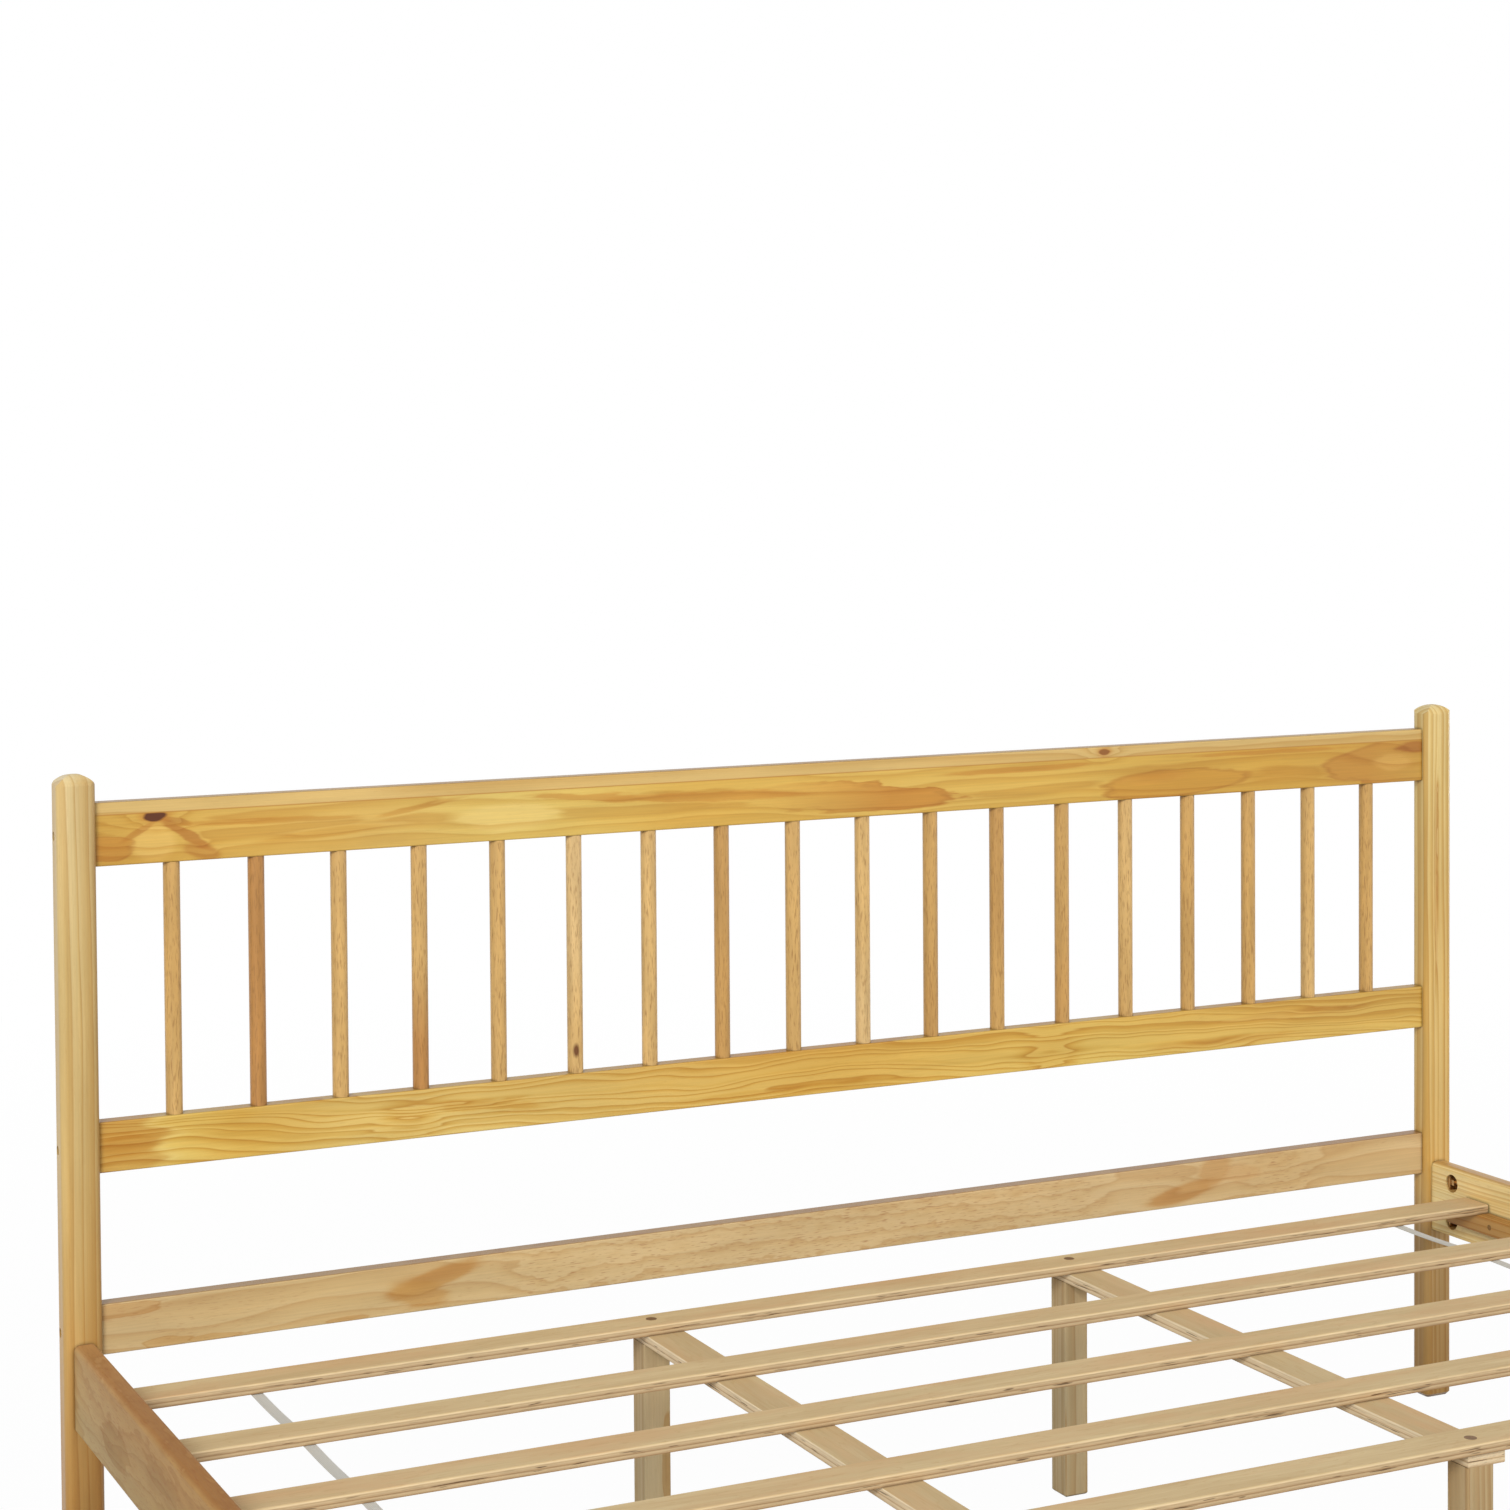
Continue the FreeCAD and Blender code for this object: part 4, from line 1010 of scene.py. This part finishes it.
@dataclass
class SideRails:
    """The two side rails and the ledger strips on their inner faces."""

    rail_x: float = 992.0
    rail_z: float = 298.0
    rail_half: float = 1012.5
    ledger_x: float = 968.0
    ledger_z: float = 288.5
    ledger_half: float = 950.5

    def dress(self) -> None:
        """Give the rails and the ledgers their pine."""
        dress(["side_rail_left"], Board(
            "side_rail_pine_left", Run.LENGTHWISE, (-self.rail_x, 0, self.rail_z), self.rail_half,
            wood=GREY_TAN,
            ground=((-1012, "B69359"), (-300, "AE8D57"), (500, "AD8E5A"), (750, "B09363"), (1012, "BEA579")),
            pith=(-160, 60), tilt=0.01, layer_mm=24, wander_mm=30, wander_length_mm=200, contrast=0.5,
            flecks=0.2, fleck_spans=((-1012, 1012),), ripple=1.2, half_height=50, seed=9,
            low_side_shade="F0EFE6", high_side_shade="FFEED8", top_shade="F2D4B8", lacquer=0, roughness=0.6,
            figures=(
                Figure(820, -10, 60, 22, "9C7C48", crisp=True),
                Figure(620, 16, 70, 16, "A0804C", crisp=True),
                Figure(380, -12, 90, 20, "9B7B47", 0.55, crisp=True),
                Figure(60, 10, 110, 18, "A3834D", 0.5, crisp=True),
                Figure(-420, -8, 130, 20, "A78147", 0.5, crisp=True),
                Figure(-800, 10, 90, 16, "A57F45", 0.5, crisp=True),
            ),
        ))
        dress(["side_rail_right"], Board(
            "side_rail_pine_right", Run.LENGTHWISE, (self.rail_x, 0, self.rail_z), self.rail_half,
            ground=((-1012, "E3C17B"), (0, "E5C686"), (1012, "EED79A")),
            pith=(-120, -40), tilt=0.008, layer_mm=7, wander_mm=8, contrast=0.6, flecks=0.2,
            half_height=50, seed=10, top_shade="D0BAA0",
            figures=(Figure(-500, -10, 120, 16, "BE9150", taper=0.4, crisp=True),),
        ))
        dress(["ledger_left", "ledger_right"], Board(
            "ledger_pine", Run.LENGTHWISE, (self.ledger_x, 0, self.ledger_z), self.ledger_half, half_height=12.5,
            ground=((-950, "CEA767"), (300, "CCA262"), (700, "C69A58"), (950, "B08448")),
            pith=(40, -60), tilt=0.01, layer_mm=6, wander_mm=12, contrast=0.9, seed=11, lacquer=0.1,
            roughness=0.5,
        ))


@dataclass
class SlatBase:
    """The slats with the beams, the centre legs and the webbing under them."""

    slat_bottom: float = 301.0
    slat_thick: float = 12.0
    beam_thick: float = 14.0
    leg_half: float = 143.5
    strap_x: float = 822.0
    strap_width: float = 14.0
    strap_thick: float = 1.3
    strap_round: float = 0.8
    strap_gap: float = 0.05
    strap_sag: float = 1.6
    strap_steps: int = 96
    set_outer_y: float = 936.5
    set_inner_y: float = 86.5
    slats_per_set: int = 5

    def dress(self) -> None:
        """Give the slats and beams plywood, the legs bare pine, and put in the webbing."""
        slats = Plywood("slat_plywood", Run.WIDTHWISE, self.slat_bottom, self.slat_thick)
        beams = Plywood(
            "beam_plywood", Run.LENGTHWISE, self.slat_bottom - self.beam_thick, self.beam_thick,
            face=("D1BA8E", "C1A77B"), arris_ply_and_highlight="F0DFBC",
            light_ply="E6D2AE", mid_ply="DCC29B", dark_ply="B4966E",
        )
        legs = Board(
            "leg_pine", Run.UPRIGHT, (0, 0, self.leg_half), self.leg_half, wood=GREY_TAN,
            ground=((-143, "BDA881"), (0, "C1AE88"), (143, "BBA37B")), pith=(-260, -90), tilt=0.01,
            wander_length_mm=300, flecks=0.12, seed=12, lacquer=0, roughness=0.6,
            figures=(Figure(-10, -300, 60, 6, "B28B51", crisp=True),),
        )
        dress([f"slat_{n + 1:02d}" for n in range(len(ENDS) * self.slats_per_set)], slats)
        dress([f"beam_{end}_{side}" for end in ENDS for side in SIDES], beams)
        spots = [f"leg_{end}_{side}_{spot}" for end in ENDS for side in SIDES for spot in ("outer", "inner")]
        dress(spots, legs)
        self.make_straps()

    def make_straps(self) -> bpy.types.Object:
        """Weave the four straps, taut from slat to slat with a little sag between."""
        mesh = bpy.data.meshes.new("webbing")
        shape = bmesh.new()
        for end in (1, -1):
            for side in (1, -1):
                self._add_strap(shape, side * self.strap_x, end)
        shape.to_mesh(mesh)
        shape.free()
        for face in mesh.polygons:
            face.use_smooth = True
        mesh.materials.append(Webbing().material())
        straps = bpy.data.objects.new("webbing_woven", mesh)
        bpy.context.scene.collection.objects.link(straps)
        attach(straps, "root")
        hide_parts("webbing_straps")
        LOG.info("webbing: %d vertices", len(mesh.vertices))
        return straps

    def _add_strap(self, shape: bmesh.types.BMesh, x: float, end: int) -> None:
        """Add one strap as a closed strip with rounded edges.

        Args:
            shape: The mesh in the making.
            x: The strap's middle.
            end: 1 for the set at the head, -1 for the one at the foot.
        """
        length, bays = self.set_outer_y - self.set_inner_y, self.slats_per_set - 1
        half, thick = self.strap_width / 2, self.strap_thick
        inner, high, low = half - self.strap_round, -0.35 * thick, -0.65 * thick
        section = ((-half, high), (-inner, 0.0), (inner, 0.0), (half, high),
                   (half, low), (inner, -thick), (-inner, -thick), (-half, low))
        rows = []
        for step in range(self.strap_steps + 1):
            part = step / self.strap_steps
            y = self.set_inner_y + part * length
            sag = self.strap_sag * math.sin(math.pi * (part * bays % 1.0)) ** 2 if 0 < part < 1 else 0.0
            rows.append([
                shape.verts.new((
                    (x + across) * MM, end * y * MM, (self.slat_bottom - self.strap_gap + down - sag) * MM,
                )) for across, down in section
            ])
        count = len(section)
        for first, second in zip(rows, rows[1:]):
            for i in range(count):
                shape.faces.new((first[i], first[(i + 1) % count], second[(i + 1) % count], second[i]))
        shape.faces.new(rows[0])
        shape.faces.new(list(reversed(rows[-1])))
        bmesh.ops.recalc_face_normals(shape, faces=shape.faces)


@dataclass
class Hardware:
    """The bolts, nuts, washers and screws."""

    bronzed: tuple[str, ...] = ("rail_bolts", "barrel_nuts", "leg_screws", "ledger_screws")
    yellow: tuple[str, ...] = ("hanger_bolts", "half_moon_washers", "hanger_nuts")

    def dress(self) -> None:
        """Give the hardware its two platings."""
        dress(self.bronzed, Plated("bronzed_steel", "96703F", "54391F"))
        dress(self.yellow, Plated("yellow_zinc_steel", "CFAA74", "8E6A3C"))


# ---- room, light and camera ----


@dataclass
class Room:
    """A plain pale floor and soft studio light."""

    floor_half: float = 30.0
    sky_before: float = 0.84
    sky_behind: float = 0.3

    def build(self) -> None:
        """Lay the floor, set the world and hang the lamps."""
        self._floor()
        self._world()
        self._lamp("key_light", (-7.2, -6.6, 5.8), (0.2, 0.6, 0.5), 3.8, 775.0)
        self._lamp("fill_light", (4.4, -6.2, 3.0), (0.4, 0.6, 0.5), 3.2, 105.0)
        self._lamp("side_light", (7.0, 0.8, 1.4), (0.9, 0.4, 0.5), 2.6, 120.0)

    def _floor(self) -> None:
        """Lay a square of white paper under the bed."""
        mesh = bpy.data.meshes.new("floor")
        h = self.floor_half
        mesh.from_pydata([(-h, -h, 0), (h, -h, 0), (h, h, 0), (-h, h, 0)], [], [(0, 1, 2, 3)])
        mesh.materials.append(Paper().material())
        floor = bpy.data.objects.new("floor", mesh)
        bpy.context.scene.collection.objects.link(floor)

    def _world(self) -> None:
        """Make the world white where it is seen, and as a light softer, most of all behind the bed."""
        world = bpy.data.worlds.new("studio")
        bpy.context.scene.world = world
        world.use_nodes = True
        tree = world.node_tree
        tree.nodes.clear()
        toward = add_node(tree, "TexCoord").outputs["Generated"]
        back = add_node(tree, "SeparateXYZ", [toward]).outputs["Y"]
        soft = add_node(tree, "MapRange", {
            "Value": back, "From Min": -0.8, "From Max": 0.15,
            "To Min": self.sky_before, "To Max": self.sky_behind,
        })
        strength = add_node(tree, "MapRange", {"Value": plainly_seen(tree), "To Min": soft, "To Max": 1.0})
        light = add_node(tree, "Background", {"Color": WHITE, "Strength": strength})
        add_node(tree, "OutputWorld", {"Surface": light})

    def _lamp(self, name: str, place: Triple, aim: Triple, size: float, power: float) -> None:
        """Hang one square soft lamp.

        Args:
            name: The lamp's name.
            place: Where it hangs, in metres.
            aim: What it points at.
            size: Its side.
            power: Its power in watts.
        """
        data = bpy.data.lights.new(name, "AREA")
        data.size = size
        data.energy = power
        lamp = bpy.data.objects.new(name, data)
        lamp.location = place
        lamp.rotation_mode = "QUATERNION"
        lamp.rotation_quaternion = (Vector(aim) - Vector(place)).to_track_quat("-Z", "Y")
        bpy.context.scene.collection.objects.link(lamp)


@dataclass
class View:
    """The photograph's camera, fitted to the edges of the rails, the slats and the posts."""

    place: Triple = (-1.7739, -2.3795, 1.3639)
    yaw: float = 0.448
    pitch: float = -0.0309
    roll: float = -0.007
    focal_px: float = 2932.3
    centre_px: Pair = (734.2, 560.5)
    side_px: float = 1510.0
    sensor_mm: float = 36.0
    clip: Pair = (0.05, 200.0)

    def build(self) -> None:
        """Put the camera in the scene."""
        data = bpy.data.cameras.new("photo_camera")
        data.sensor_width = self.sensor_mm
        data.lens = self.focal_px / self.side_px * self.sensor_mm
        data.shift_x = 0.5 - self.centre_px[0] / self.side_px
        data.shift_y = self.centre_px[1] / self.side_px - 0.5
        data.clip_start, data.clip_end = self.clip
        camera = bpy.data.objects.new("photo_camera", data)
        turn = Matrix.Rotation(-self.yaw, 4, "Z") @ Matrix.Rotation(math.pi / 2 + self.pitch, 4, "X")
        camera.matrix_world = Matrix.Translation(self.place) @ turn @ Matrix.Rotation(self.roll, 4, "Z")
        bpy.context.scene.collection.objects.link(camera)
        bpy.context.scene.camera = camera


def main() -> None:
    """Build and dress the whole bed."""
    logging.basicConfig(level=logging.INFO, format="%(name)s %(message)s")
    bpy.context.scene.view_settings.view_transform = "Standard"
    View().build()
    Room().build()
    for part in (Headboard(), FootEnd(), SideRails(), SlatBase(), Hardware()):
        part.dress()


if __name__ == "__main__":
    main()
